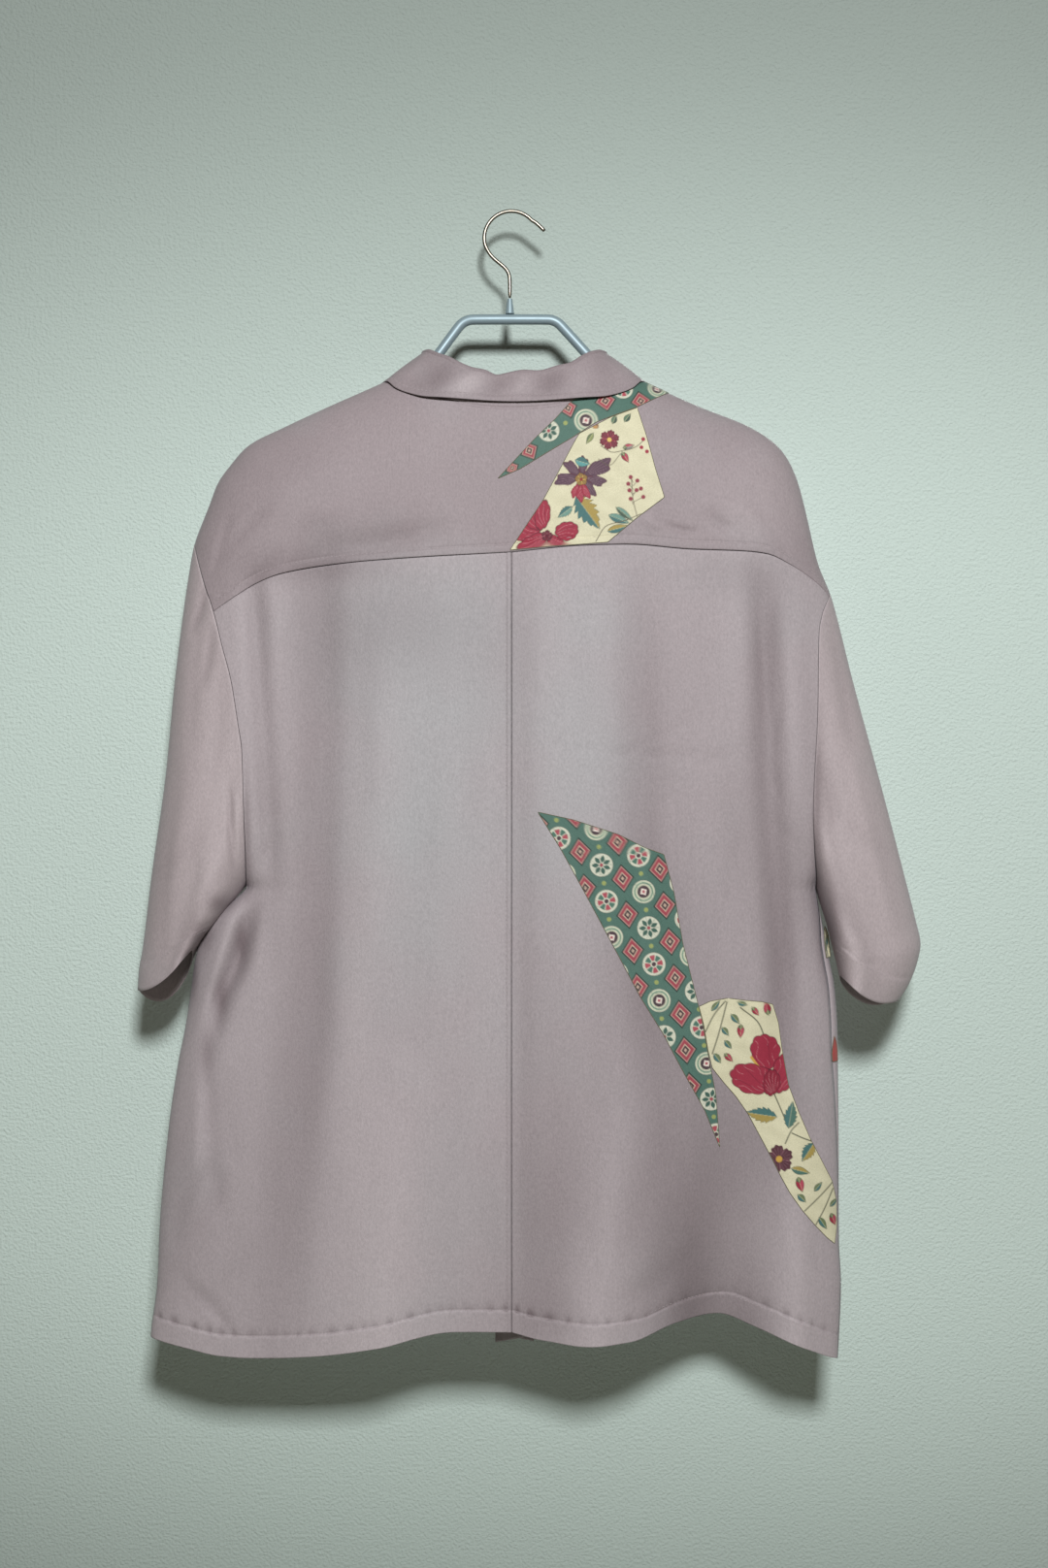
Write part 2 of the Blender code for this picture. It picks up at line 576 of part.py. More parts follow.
def add_button(name, z, finish):
    """Round shirt button lying on the left front."""
    face = float(front_y(LEFT, np.array([0.0]), np.array([z]))[0])
    rim = BUTTON_THICK / 4
    mesh = bpy.data.meshes.new(name)
    disc = bmesh.new()
    bmesh.ops.create_cone(disc, cap_ends=True, segments=20, radius1=BUTTON_RADIUS * MM,
                          radius2=BUTTON_RADIUS * MM, depth=BUTTON_THICK * MM)
    disc.to_mesh(mesh)
    disc.free()
    piece = add_object(name, mesh, finish)
    piece.location = (0, (face + BUTTON_GAP + BUTTON_THICK / 2) * MM, z * MM)
    piece.rotation_euler = (math.pi / 2, 0, 0)
    bevel = piece.modifiers.new("rim", "BEVEL")
    bevel.width = rim * MM
    bevel.segments = 1
    return piece


def bend(before, corner, after, radius, steps=5):
    """Points of the arc that rounds a corner of a bent tube."""
    before, corner, after = (np.array(spot, dtype=float) for spot in (before, corner, after))
    first = (before - corner) / np.linalg.norm(before - corner)
    second = (after - corner) / np.linalg.norm(after - corner)
    half = math.acos(float(np.clip(first @ second, -1, 1))) / 2
    middle = (first + second) / np.linalg.norm(first + second)
    centre = corner + middle * radius / math.sin(half)
    start = corner + first * radius / math.tan(half) - centre
    end = corner + second * radius / math.tan(half) - centre
    sweep = math.pi - 2 * half
    arc = []
    for step in range(steps + 1):
        share = step / steps
        weights = math.sin((1 - share) * sweep), math.sin(share * sweep)
        arc.append(tuple(centre + (weights[0] * start + weights[1] * end) / math.sin(sweep)))
    return arc


def tip(end, before):
    """Places past a tube's end, along which it is rounded off."""
    end, before = np.array(end), np.array(before)
    along = (end - before) / np.linalg.norm(end - before) * TUBE_RADIUS
    return [tuple(end + past * along) for past, _ in TIP_ROUND]


def add_hanger(finish):
    """One bent tube: shoulder arm, steep leg, flat bar, steep leg, shoulder arm."""
    def under(side, out):
        slope = (ridge(side, out + 6) - ridge(side, out - 6)) / 12
        return side.sign * out, float(ridge(side, out) - ARM_DROP * np.hypot(1, slope))

    left = [under(LEFT, out) for out in np.linspace(ARM_REST, -ARM_TIPS[0], 11)]
    right = [under(RIGHT, out) for out in np.linspace(ARM_REST, ARM_TIPS[1], 11)]
    turn_left, turn_right = (under(side, ARM_START) - np.array([0, ARM_SINK])
                             for side in (LEFT, RIGHT))
    corners = [(corner, BAR_HEIGHT) for corner in BAR_CORNERS]
    path = left[::-1]
    path += bend(left[0], turn_left, corners[0], ARM_BEND, 4)
    path += bend(turn_left, corners[0], corners[1], BEND_RADIUS)
    path += bend(corners[0], corners[1], turn_right, BEND_RADIUS)
    path += bend(corners[1], turn_right, right[0], ARM_BEND, 4)
    path += right
    first, last = tip(path[0], path[1]), tip(path[-1], path[-2])
    rounded = [radius for _, radius in TIP_ROUND]
    radii = rounded[::-1] + [1.0] * len(path) + rounded
    return add_rod("hanger_tube", first[::-1] + path + last, TUBE_RADIUS, finish, 12, radii)


def add_hook(finish):
    """Wire hook: a round bow from the open tip over the top, then down to the socket."""
    bow = [(HOOK_CENTRE[0] + HOOK_RADIUS * math.cos(turn),
            HOOK_CENTRE[1] + HOOK_RADIUS * math.sin(turn))
           for turn in np.linspace(math.radians(40), math.radians(198), 23)]
    path = [*HOOK_TIP, *bow, *HOOK_SHANK, (HANGER_MIDDLE, SOCKET[1] + SOCKET_GAP)]
    return add_rod("hanger_hook", path, WIRE_RADIUS, finish, 8)


def add_socket(finish):
    """Tapered ferrule that holds the wire on the bar."""
    mesh = bpy.data.meshes.new("hook_socket")
    cone = bmesh.new()
    bmesh.ops.create_cone(cone, cap_ends=True, segments=24, radius1=SOCKET_RADII[0] * MM,
                          radius2=SOCKET_RADII[1] * MM, depth=(SOCKET[1] - SOCKET[0]) * MM)
    cone.to_mesh(mesh)
    cone.free()
    piece = add_object("hook_socket", mesh, finish)
    piece.location = (HANGER_MIDDLE * MM, 0, (SOCKET[0] + SOCKET[1]) / 2 * MM)
    return piece


for old in list(bpy.data.objects):
    bpy.data.objects.remove(old)
bpy.context.scene.collection.children.link(bpy.data.collections.new("shirt_on_hanger"))

silk = (0.39, 0.31, 0.33)
for half_name, half in (("left", LEFT), ("right", RIGHT)):
    add_back(half, "back_" + half_name, material("silk back " + half_name, silk, 0.6))
    add_front(half, "front_" + half_name, material("silk front " + half_name, silk, 0.6))
    add_sleeve(half, "sleeve_" + half_name, material("silk sleeve " + half_name, silk, 0.6))
    add_lapel(half, "lapel_" + half_name, material("silk lapel " + half_name, silk, 0.6))
add_yoke(material("silk yoke", silk, 0.6))
add_collar(material("silk collar", silk, 0.6))
for number, height in enumerate(BUTTON_HEIGHTS, start=1):
    name = "button_" + str(number)
    add_button(name, height, material("shell " + name, (0.75, 0.70, 0.66), 0.3))
add_hanger(material("satin silver tube", (0.55, 0.60, 0.61), 0.35, 0.8))
add_hook(material("nickel wire", (0.60, 0.58, 0.54), 0.25, 1.0))
add_socket(material("satin silver socket", (0.55, 0.60, 0.61), 0.35, 0.8))
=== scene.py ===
"""Looks of a short-sleeved silk shirt with an open collar, hanging on a bent tube hanger.

The sections follow the object as it is put together.  Sizes in them are millimetres in
the part's frame: the origin is inside the top of the hook, +Z is up, and the shirt's back
faces -Y.  In a table, "out" is a distance from the middle towards the side it belongs to.
"""
import math
from collections import namedtuple

import bmesh
import bpy
import numpy as np
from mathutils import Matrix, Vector


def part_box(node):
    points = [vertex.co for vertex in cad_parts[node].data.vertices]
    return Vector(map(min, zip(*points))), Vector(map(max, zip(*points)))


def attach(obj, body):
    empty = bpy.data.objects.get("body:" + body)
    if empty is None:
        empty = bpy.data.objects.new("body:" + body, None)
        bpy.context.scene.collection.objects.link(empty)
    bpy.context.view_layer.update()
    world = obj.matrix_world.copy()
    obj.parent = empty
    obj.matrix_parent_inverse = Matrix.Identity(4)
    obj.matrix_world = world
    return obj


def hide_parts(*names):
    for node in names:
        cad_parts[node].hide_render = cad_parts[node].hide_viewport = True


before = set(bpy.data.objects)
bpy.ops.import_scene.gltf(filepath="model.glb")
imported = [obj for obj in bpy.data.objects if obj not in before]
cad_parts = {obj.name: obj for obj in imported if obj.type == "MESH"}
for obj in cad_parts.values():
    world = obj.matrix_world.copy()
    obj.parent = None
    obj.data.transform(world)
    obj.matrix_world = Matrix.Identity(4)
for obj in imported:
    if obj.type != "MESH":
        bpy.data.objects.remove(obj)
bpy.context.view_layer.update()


# The view: a lens square on to the shirt's back, a pale papered wall close behind it and a
# floor well below.  A broad lamp high in front throws the shadow down the wall; a weak one
# behind the wall, which lets its light through, serves the views from behind.
MM = 0.001
VIEW_POINT = (7.5, -1690.0, -443.0)
WALL_PLACE = (85.0, 78.0, -560.0)
WALL_LEAN = 4.2           # degrees by which its foot stands back
WALL_SPAN = 3200.0
WALL_FADE = (0.30, 0.80)  # metres from its middle between which it dims
# The wall's colour: painted light in its middle, painted shade towards its edges.
WALL_LIT, WALL_DIM = "#c5d4cd", "#8b958f"
FLOOR_HEIGHT = -1900.0
FILL_LIGHT = 0.058


def linear(hex_colour):
    """Linear colour of an sRGB hex value."""
    parts = [int(hex_colour[start:start + 2], 16) / 255 for start in (1, 3, 5)]
    return [part / 12.92 if part <= 0.04045 else ((part + 0.055) / 1.055) ** 2.4
            for part in parts]


def add_node(finish, kind, inputs=None, **settings):
    """One node with its settings; an input takes a value or another node's output."""
    node = finish.node_tree.nodes.new("ShaderNode" + kind)
    for name, value in settings.items():
        setattr(node, name, value)
    for name, value in (inputs or {}).items():
        if isinstance(value, bpy.types.NodeSocket):
            finish.node_tree.links.new(value, node.inputs[name])
        else:
            node.inputs[name].default_value = value
    return node


def new_finish(name, **values):
    """A material whose shader has these settings, and that shader."""
    finish = bpy.data.materials.new(name)
    finish.use_nodes = True
    shader = finish.node_tree.nodes["Principled BSDF"]
    for key, value in values.items():
        shader.inputs[key.replace("_", " ")].default_value = value
    return finish, shader


def wallpaper():
    """Matt embossed wallpaper with a painted pool of light in the middle and painted shade
    away from it; nothing when seen from behind.
    """
    finish, shader = new_finish("embossed wallpaper", Roughness=0.85)
    place = add_node(finish, "TexCoord").outputs["Object"]
    wide = add_node(finish, "Mapping", {"Vector": place, "Scale": (0.55, 1, 1)})
    far = add_node(finish, "VectorMath", {0: wide.outputs[0]}, operation="LENGTH")
    dim = add_node(finish, "MapRange", {"Value": far.outputs["Value"],
                                        "From Min": WALL_FADE[0], "From Max": WALL_FADE[1]},
                   interpolation_type="SMOOTHSTEP")
    colour = add_node(finish, "MixRGB", {"Fac": dim.outputs[0], "Color1": (*linear(WALL_LIT), 1),
                                         "Color2": (*linear(WALL_DIM), 1)})
    grain = add_node(finish, "TexNoise", {"Vector": place, "Scale": 420.0, "Detail": 3.0})
    bump = add_node(finish, "Bump", {"Height": grain.outputs["Fac"], "Strength": 0.9,
                                     "Distance": 0.0016})
    links = finish.node_tree.links
    links.new(colour.outputs[0], shader.inputs["Base Color"])
    links.new(bump.outputs[0], shader.inputs["Normal"])
    back = add_node(finish, "NewGeometry").outputs["Backfacing"]
    clear = add_node(finish, "BsdfTransparent")
    mix = add_node(finish, "MixShader", {0: back, 1: shader.outputs[0], 2: clear.outputs[0]})
    links.new(mix.outputs[0], finish.node_tree.nodes["Material Output"].inputs["Surface"])
    return finish


def add_lamp(name, place, aim, size, watts, colour):
    """Square lamp at a place, turned towards a point."""
    bpy.ops.object.light_add(type="AREA", location=[value * MM for value in place])
    lamp = bpy.context.object
    lamp.name = name
    lamp.data.size = size * MM
    lamp.data.energy = watts
    lamp.data.color = colour
    way = Vector(aim) * MM - lamp.location
    lamp.rotation_euler = way.to_track_quat("-Z", "Y").to_euler()


bpy.ops.object.select_all(action="DESELECT")
bpy.ops.object.camera_add(location=[value * MM for value in VIEW_POINT],
                          rotation=(math.pi / 2, 0, 0))
camera = bpy.context.object
camera.data.lens = 50
camera.data.sensor_width = 36
bpy.context.scene.camera = camera

bpy.ops.mesh.primitive_plane_add(size=WALL_SPAN * MM, location=[value * MM for value in WALL_PLACE],
                                 rotation=(math.radians(90 + WALL_LEAN), 0, 0))
wall = bpy.context.object
wall.name = "wall"
wall.visible_shadow = False
wall.data.materials.append(wallpaper())
bpy.ops.mesh.primitive_plane_add(size=2 * WALL_SPAN * MM, location=(0, 0, FLOOR_HEIGHT * MM))
floor = bpy.context.object
floor.name = "floor"
floor.data.materials.append(new_finish("pale floor", Base_Color=(*linear("#bfc0b8"), 1),
                                       Roughness=0.7)[0])

add_lamp("broad lamp", place=(190, -2350, 600), aim=(0, 0, -480), size=330, watts=67.5,
         colour=(0.99, 1.0, 1.01))
add_lamp("rear lamp", place=(500, 2300, 500), aim=(0, 0, -450), size=900, watts=30,
         colour=(1.0, 0.99, 0.97))
world = bpy.data.worlds.new("studio")
world.use_nodes = True
world.node_tree.nodes["Background"].inputs["Color"].default_value = (*linear("#f0d6a2"), 1)
world.node_tree.nodes["Background"].inputs["Strength"].default_value = FILL_LIGHT
bpy.context.scene.world = world
bpy.context.scene.view_settings.view_transform = "Standard"


# The back: two halves of soft silk crepe from a narrow kimono cloth, so they are joined down
# the middle.  The seam is pressed to one side and top-stitched; the hem is turned up 17 mm
# and sewn, which puckers it a little.
SEAM_GAP = 0.12           # between the turned edges of two pieces
ARMHOLE_GAP = 0.25
SIDE_TURN = 0.004         # half the gap of the side seam, as an angle round the body
VENT_TURN = 0.014
VENT_TOP = -824.0
ROUND_WIDTH = 75.0        # width over which the cloth rounds away from its outline
SIDE_POWER = 5
ARM_HOLD = 0.7
ARM_FADE = (0.6, 0.75)    # down the armhole: where its hold on the cloth starts to end, and
HOLD_POWER = 22           # over how much; the high power keeps this off the very edge
SILK = 0.5                # thickness of the shell that stands for the silk
# The silk's colour, the painted shade it takes down in folds, the painted light it takes on crests,
# and its cooler dye.
SILK_COLOUR, SILK_PAINTED_SHADE, SILK_PAINTED_LIGHT, SILK_COOL = "#a89ea1", "#6f6265", "#c4babc", "#a6a4a6"
HEM_DEEP = 17.0
MIDDLE_STITCH, VENT_STITCH = 4.0, 6.5    # how far in from the edges these run
SEAM_RAISE, STITCH_SINK, PUCKER_DEEP = 0.45, 0.6, 0.92
# Painted shade: how dark a deep fold is painted, and at what depth.
FOLD_SHADE, FOLD_SCALE = 0.62, 11.0      # how dark a deep fold gets, and how deep that is
SLACK_PHASE = {"back": 0.4, "front": 2.9}
NECK_HALF, NECK_LOW, NECK_RISE = 80.0, -152.5, 32.5

Point = namedtuple("Point", "out z")
Mark = namedtuple("Mark", "along out z")
Height = namedtuple("Height", "share z")
Depth = namedtuple("Depth", "z back front")
Turn = namedtuple("Turn", "z angle")
Station = namedtuple("Station", "z out deep")
Valley = namedtuple("Valley", "width stations")
Crease = namedtuple("Crease", "x z to_x to_z bow width deep")
ShadeDyeSpot = namedtuple("ShadeDyeSpot", "x z wide high dark")
Side = namedtuple("Side", "sign middle outline edge seam hem front_hem armpit cuff_in cuff_hang "
                          "turn valleys front_valleys")
Hang = namedtuple("Hang", "back front")


def rows_of(kind, *rows):
    """Table whose rows are all of one kind."""
    return tuple(kind(*row) for row in rows)


DEPTHS = rows_of(Depth, (-900, 25, 19), (-830, 29, 22), (-700, 35, 27), (-520, 38, 30),
                 (-270, 36, 28), (-80, 34, 27))

# The shirt hangs unevenly, so each side has its own outline, seams, hems and folds.
LEFT = Side(
    sign=-1,
    middle=2.0,
    outline=rows_of(Point, (0, -83), (60, -111), (99, -130.5), (144.6, -150.8), (177, -165.9),
                    (206.4, -180.9), (220, -196), (230.5, -211), (236, -226), (242, -241),
                    (247.8, -257), (253, -286), (263, -361.7), (270.4, -437), (281, -512),
                    (288.5, -572.5), (291, -586), (292, -602)),
    edge=rows_of(Point, (283, -890), (282, -870), (277, -829), (275, -783), (268, -708),
                 (261.5, -663), (255, -630), (251, -604), (247, -576), (236, -548), (207, -521),
                 (205, -490), (206.6, -418), (209.5, -398), (215.4, -363), (222, -339),
                 (229.5, -311), (236.2, -293), (247.8, -257)),
    seam=rows_of(Height, (0, -266.6), (.35, -271.4), (.58, -276), (.72, -282), (.82, -289.5),
                 (.9, -299), (1, -311)),
    hem=rows_of(Height, (0, -861.5), (.155, -861.5), (.37, -872.6), (.53, -880), (.69, -883),
                (.8, -881.6), (.9, -876), (1, -871)),
    front_hem=rows_of(Height, (0, -881), (.1, -874), (.2, -867), (.4, -869), (.65, -876),
                      (.85, -872), (1, -868)),
    armpit=-521.0,
    cuff_in=Point(248, -571),
    cuff_hang=Hang(8, 24),
    turn=rows_of(Turn, (-900, 0.0), (-500, 0.0)),
    valleys=(
        Valley(24, rows_of(Station, (-235, 148, 0), (-289, 148, 7), (-407, 144, 10),
                           (-511, 148, 10), (-622, 157, 9), (-733, 174, 7), (-880, 190, 3))),
        Valley(9, rows_of(Station, (-275, 200, 0), (-320, 196.7, 8), (-450, 190, 9),
                          (-540, 186, 3), (-600, 185, 0))),
        Valley(9, rows_of(Station, (-512, 199, 0), (-540, 203, 10), (-582, 214, 17),
                          (-612, 227, 13), (-660, 235, 5), (-720, 236, 0))),
        Valley(30, rows_of(Station, (-640, 95, 0), (-760, 100, -5), (-880, 105, -8))),
        Valley(16, rows_of(Station, (-600, 232, 0), (-660, 236, -5), (-790, 250, -3),
                           (-880, 252, 0)))),
    front_valleys=(
        Valley(22, rows_of(Station, (-240, 130, 0), (-380, 128, 7), (-560, 136, 8),
                           (-740, 150, 6), (-880, 160, 3))),
        Valley(12, rows_of(Station, (-500, 200, 0), (-575, 208, 9), (-650, 222, 6),
                           (-760, 226, 0))),
        Valley(26, rows_of(Station, (-560, 70, 0), (-720, 76, -5), (-880, 82, -9)))))

RIGHT = Side(
    sign=1,
    middle=-2.0,
    outline=rows_of(Point, (0, -83), (60, -111), (100, -131), (143.8, -150.8), (181.5, -165.9),
                    (204, -181), (214.6, -196), (220.5, -211), (228, -241), (235, -271),
                    (244.7, -295.4), (250.7, -316.5), (262, -361.7), (282.4, -437), (302, -512.3),
                    (311, -548), (315, -567), (312.5, -580), (306, -597), (299, -608)),
    edge=rows_of(Point, (251, -890), (253.5, -828), (252, -798), (251.5, -708), (250.5, -633),
                 (248.5, -603), (243.5, -576), (238, -548), (233, -521), (228.5, -490),
                 (227, -467), (231, -389), (233, -328), (236, -313), (244.7, -295.4)),
    seam=rows_of(Height, (0, -266.6), (.23, -261.4), (.36, -260.7), (.55, -264.4), (.73, -265.9),
                 (.79, -267.5), (.86, -274.7), (.95, -288), (1, -299)),
    hem=rows_of(Height, (0, -861.5), (.1, -867.4), (.22, -869.7), (.37, -868), (.515, -856.5),
                (.65, -853), (.75, -860), (.87, -871.7), (1, -887.3)),
    front_hem=rows_of(Height, (0, -881), (.1, -876), (.2, -863), (.4, -852), (.6, -846),
                      (.75, -851), (.88, -866), (1, -880)),
    armpit=-521.0,
    cuff_in=Point(250.5, -590),
    cuff_hang=Hang(10, 16),
    turn=rows_of(Turn, (-900, 0.04), (-760, 0.08), (-690, 0.16), (-640, 0.22), (-570, 0.20),
                 (-540, 0.08), (-521, 0.0)),
    valleys=(
        Valley(12, rows_of(Station, (-262, 188, 0), (-302, 190, 6), (-360, 193, 11),
                           (-445, 196, 12), (-537, 202, 11), (-622, 206, 7), (-720, 206, 0))),
        Valley(16, rows_of(Station, (-250, 92, 0), (-330, 94, 3), (-480, 98, 4), (-640, 104, 2),
                           (-760, 110, 0))),
        Valley(34, rows_of(Station, (-640, 176, 0), (-718, 172, 7), (-790, 165, 15),
                           (-845, 159, 24), (-890, 156, 29))),
        Valley(30, rows_of(Station, (-560, 118, 0), (-660, 100, -3), (-780, 72, -9),
                           (-890, 58, -15))),
        Valley(14, rows_of(Station, (-700, 222, 0), (-790, 220, -4), (-890, 218, -7)))),
    front_valleys=(
        Valley(24, rows_of(Station, (-240, 140, 0), (-400, 142, 6), (-600, 150, 8),
                           (-760, 160, 5), (-880, 166, 2))),
        Valley(12, rows_of(Station, (-490, 205, 0), (-560, 208, 8), (-650, 212, 5),
                           (-740, 214, 0))),
        Valley(28, rows_of(Station, (-600, 84, 0), (-760, 88, -6), (-880, 92, -10)))))

# Broad spots of painted shade in folds, hollows and the gaps by the armpits, partly uneven
# dye; painted light where dark is below 0.
SHADE_AND_DYE_SPOTS = rows_of(
    ShadeDyeSpot, (8, -560, 11, 330, 0.22), (22, -800, 26, 120, 0.20), (104, -590, 32, 110, 0.44),
    (104, -760, 38, 100, 0.42), (34, -856, 60, 30, 0.26), (30, -690, 22, 160, 0.12),
    (172, -800, 36, 60, -0.34), (-245, -770, 22, 70, 0.24), (-125, -520, 13, 230, -0.32),
    (190, -235, 45, 45, -0.2), (-100, -246, 40, 16, 0.18), (40, -225, 60, 40, 0.10),
    (150, -640, 26, 50, 0.2), (112, -360, 34, 90, 0.12), (152, -570, 52, 330, 0.18),
    (62, -790, 60, 72, 0.22), (-4, -330, 30, 60, 0.12), (206, -690, 24, 60, 0.28),
    (-182, -276, 22, 14, 0.30), (-90, -320, 56, 44, 0.30), (-162, -205, 40, 26, 0.18),
    (165, -280, 40, 20, 0.22), (201, -310, 11, 45, 0.30), (222, -420, 9, 120, 0.22),
    (168, -470, 14, 60, 0.14), (-130, -277, 40, 12, 0.28), (-225, -534, 9, 8, 0.6),
    (-239, -558, 7, 13, 0.7), (-248, -590, 5, 20, 0.7), (-209, -563, 5, 14, 0.5),
    (-225, -607, 6, 15, 0.5), (-236, -650, 6, 18, 0.4), (-203, -480, 2.5, 45, 0.5),
    (241, -560, 8, 34, 0.75), (230, -470, 4, 60, 0.5), (210, -560, 12, 70, 0.25))

# Small creases from one place in the frame to another; a ridge has a depth below 0.
BACK_CREASES = rows_of(
    Crease, (-236, -290, -218, -236, 2, 3.5, 2.4), (-230, -280, -184, -230, -3, 4.5, 2.0),
    (-214, -300, -176, -262, 3, 5, 1.6), (230, -286, 200, -220, 4, 6, 0.9),
    (214, -270, 176, -214, -3, 8, 0.7), (26, -270, 16.5, -466, 1, 1.4, -0.45),
    (81, -420, 134, -421, 1, 1.6, 0.45), (196, -420, 204, -362, 1, 3, 0.9),
    (150, -424, 190, -410, -2, 2.4, 0.35), (-170, -318, -182, -520, 4, 9, 1.0),
    (-116, -300, -112, -470, 2, 10, 0.7), (-150, -264, -50, -247, 4, 10, 2.8),
    (-190, -240, -128, -196, -5, 20, -1.6), (146, -232, 166, -250, 3, 3.5, 1.8),
    (166, -230, 188, -248, -2, 3.5, -1.4), (110, -243, 140, -252, 2, 3, 1.7),
    (96, -238, 118, -249, 2, 3, -1.2), (146, -238, 176, -256, 2, 5, 0.8),
    (187, -296, 199, -416, 3, 4, 1.1), (20, -413, 184, -424, 2, 1.6, 0.75),
    (78, -422, 140, -389, 2, 2.6, 0.5), (122, -430, 110, -463, 1, 2.2, 0.5),
    (199, -431, 203, -457, 1, 2.6, 1.0), (-216, -524, -251, -594, 1, 4.5, 6.0),
    (-212, -540, -247, -644, 2, 5, -3.0), (-203, -430, -201, -522, 0, 2.5, 2.4),
    (-192, -520, -196, -470, 1, 3, -0.8), (-232, -640, -226, -776, 4, 8, 3.2),
    (-231, -734, -262, -800, 9, 7, 2.8), (-271, -812, -212, -870, -5, 5, 2.0),
    (-244, -640, -246, -742, -3, 6, -1.8), (-222, -640, -214, -740, 4, 9, 1.6),
    (-262, -826, -236, -850, 3, 9, 1.6), (-236, -600, -232, -700, -3, 6, -1.2),
    (60, -840, 150, -790, 8, 10, 1.0), (-60, -700, -110, -640, 6, 14, -0.6),
    (228, -800, 246, -826, 2, 5, 1.2), (218, -752, 240, -812, -4, 7, 0.9),
    (-88, -290, -96, -586, 6, 18, -1.0), (-48, -520, -62, -842, -5, 20, -1.2),
    (-30, -300, -34, -520, 2, 12, 0.6), (66, -512, 52, -838, 6, 15, 1.1),
    (118, -732, 82, -846, -4, 12, -1.4), (44, -288, 60, -420, 3, 9, 0.6),
    (140, -280, 150, -400, -2, 9, 0.7), (227, -516, 198, -470, 3, 5, 1.0),
    (225, -400, 229, -524, 0, 3.5, 2.6), (236, -530, 240, -600, 0, 3, 2.0),
    (-206, -516, -176, -482, -2, 5, 1.1), (-262, -800, -219, -738, 5, 6, 1.5),
    (-251, -720, -212, -664, -3, 6, 1.0), (-240, -846, -196, -790, 4, 9, 1.0),
    (-120, -640, -136, -800, 5, 14, 0.9), (-20, -700, -14, -850, 2, 9, 0.8),
    (206, -560, 214, -690, -3, 8, 1.0), (232, -650, 236, -800, 2, 6, 0.8),
    (196, -700, 226, -840, 6, 8, -0.9), (20, -560, 30, -700, -3, 9, 0.6),
    (170, -480, 150, -600, 4, 12, 0.7), (104, -440, 118, -560, -4, 14, -0.7))
FRONT_CREASES = rows_of(
    Crease, (-226, -300, -190, -236, 4, 6, 1.1), (226, -300, 188, -240, -4, 7, 1.0),
    (-96, -150, -140, -260, 6, 14, 1.0), (92, -148, 134, -250, -5, 13, 0.9),
    (-60, -300, -78, -470, 4, 12, 0.8), (64, -310, 70, -520, -4, 14, 0.9),
    (-160, -330, -170, -560, 5, 10, 1.0), (170, -340, 176, -560, -5, 11, 1.0),
    (-30, -430, -60, -455, 2, 5, 0.9), (-26, -540, -66, -575, -2, 5, 0.8),
    (28, -325, 66, -352, 2, 5, 0.8), (-24, -650, -58, -690, 3, 6, 0.9),
    (-206, -516, -170, -476, 3, 5, 1.1), (224, -514, 190, -468, -3, 5, 1.0),
    (-244, -700, -206, -640, -3, 7, 1.1), (236, -690, 196, -620, 3, 7, 1.0),
    (-110, -600, -128, -830, 6, 15, 1.1), (120, -600, 134, -820, -5, 16, -1.1),
    (36, -620, 44, -850, 3, 12, 0.9), (-190, -640, -206, -840, 4, 12, -1.0))


def read(table, key, value, at):
    """Smooth value of one column of a table, read at any keys within it."""
    rows = sorted(table, key=lambda row: getattr(row, key))
    keys = np.array([getattr(row, key) for row in rows], dtype=float)
    values = np.array([getattr(row, value) for row in rows], dtype=float)
    rates = np.diff(values) / np.diff(keys)
    both = rates[:-1] * rates[1:]
    inner = np.where(both > 0, 2 * both / (rates[:-1] + rates[1:] + (both <= 0)), 0.0)
    slopes = np.concatenate([rates[:1], inner, rates[-1:]])
    at = np.clip(np.asarray(at, dtype=float), keys[0], keys[-1])
    cell = np.clip(np.searchsorted(keys, at) - 1, 0, len(keys) - 2)
    step = keys[cell + 1] - keys[cell]
    t = (at - keys[cell]) / step
    curve = (2 * t ** 3 - 3 * t ** 2 + 1) * values[cell]
    curve += (t ** 3 - 2 * t ** 2 + t) * step * slopes[cell]
    curve += (3 * t ** 2 - 2 * t ** 3) * values[cell + 1]
    curve += (t ** 3 - t ** 2) * step * slopes[cell + 1]
    return curve


def run_along(places, t):
    """Out and height at share t of the length of a line through some places."""
    line = np.array(places, dtype=float)
    lengths = np.concatenate([[0], np.cumsum(np.hypot(*np.diff(line, axis=0).T))])
    marks = [Mark(length, *place) for length, place in zip(lengths, line)]
    at = np.asarray(t, dtype=float) * lengths[-1]
    return read(marks, "along", "out", at), read(marks, "along", "z", at)


def ease(t):
    """Smooth step from 0 to 1."""
    t = np.clip(t, 0, 1)
    return t * t * (3 - 2 * t)


def gap_to(line, x, z):
    """Distance of places from a line of straight stretches."""
    line = np.asarray(line, dtype=float)
    nearest = np.full(np.shape(x), 1e9)
    for start, end in zip(line[:-1], line[1:]):
        way = end - start
        share = ((x - start[0]) * way[0] + (z - start[1]) * way[1]) / (way @ way)
        share = np.clip(share, 0, 1)
        gap = np.hypot(x - start[0] - share * way[0], z - start[1] - share * way[1])
        nearest = np.minimum(nearest, gap)
    return nearest


OUTLINE_STEPS = 120
LINES = {side.sign: np.stack(run_along(side.outline, np.linspace(0, 1, OUTLINE_STEPS)), axis=1)
         for side in (LEFT, RIGHT)}


def ridge(side, out):
    """Height of the shoulder's ridge."""
    line = LINES[side.sign]
    shoulder = line[:np.argmax(line[:, 0])]
    return np.interp(out, shoulder[:, 0], shoulder[:, 1])


def rounding(side, out, z):
    """Share of the full depth, from 0 on the outline to 1 well inside it."""
    q = np.clip(gap_to(LINES[side.sign], out, z) / ROUND_WIDTH, 0, 1)
    return np.sqrt(1 - (1 - q) ** 2)


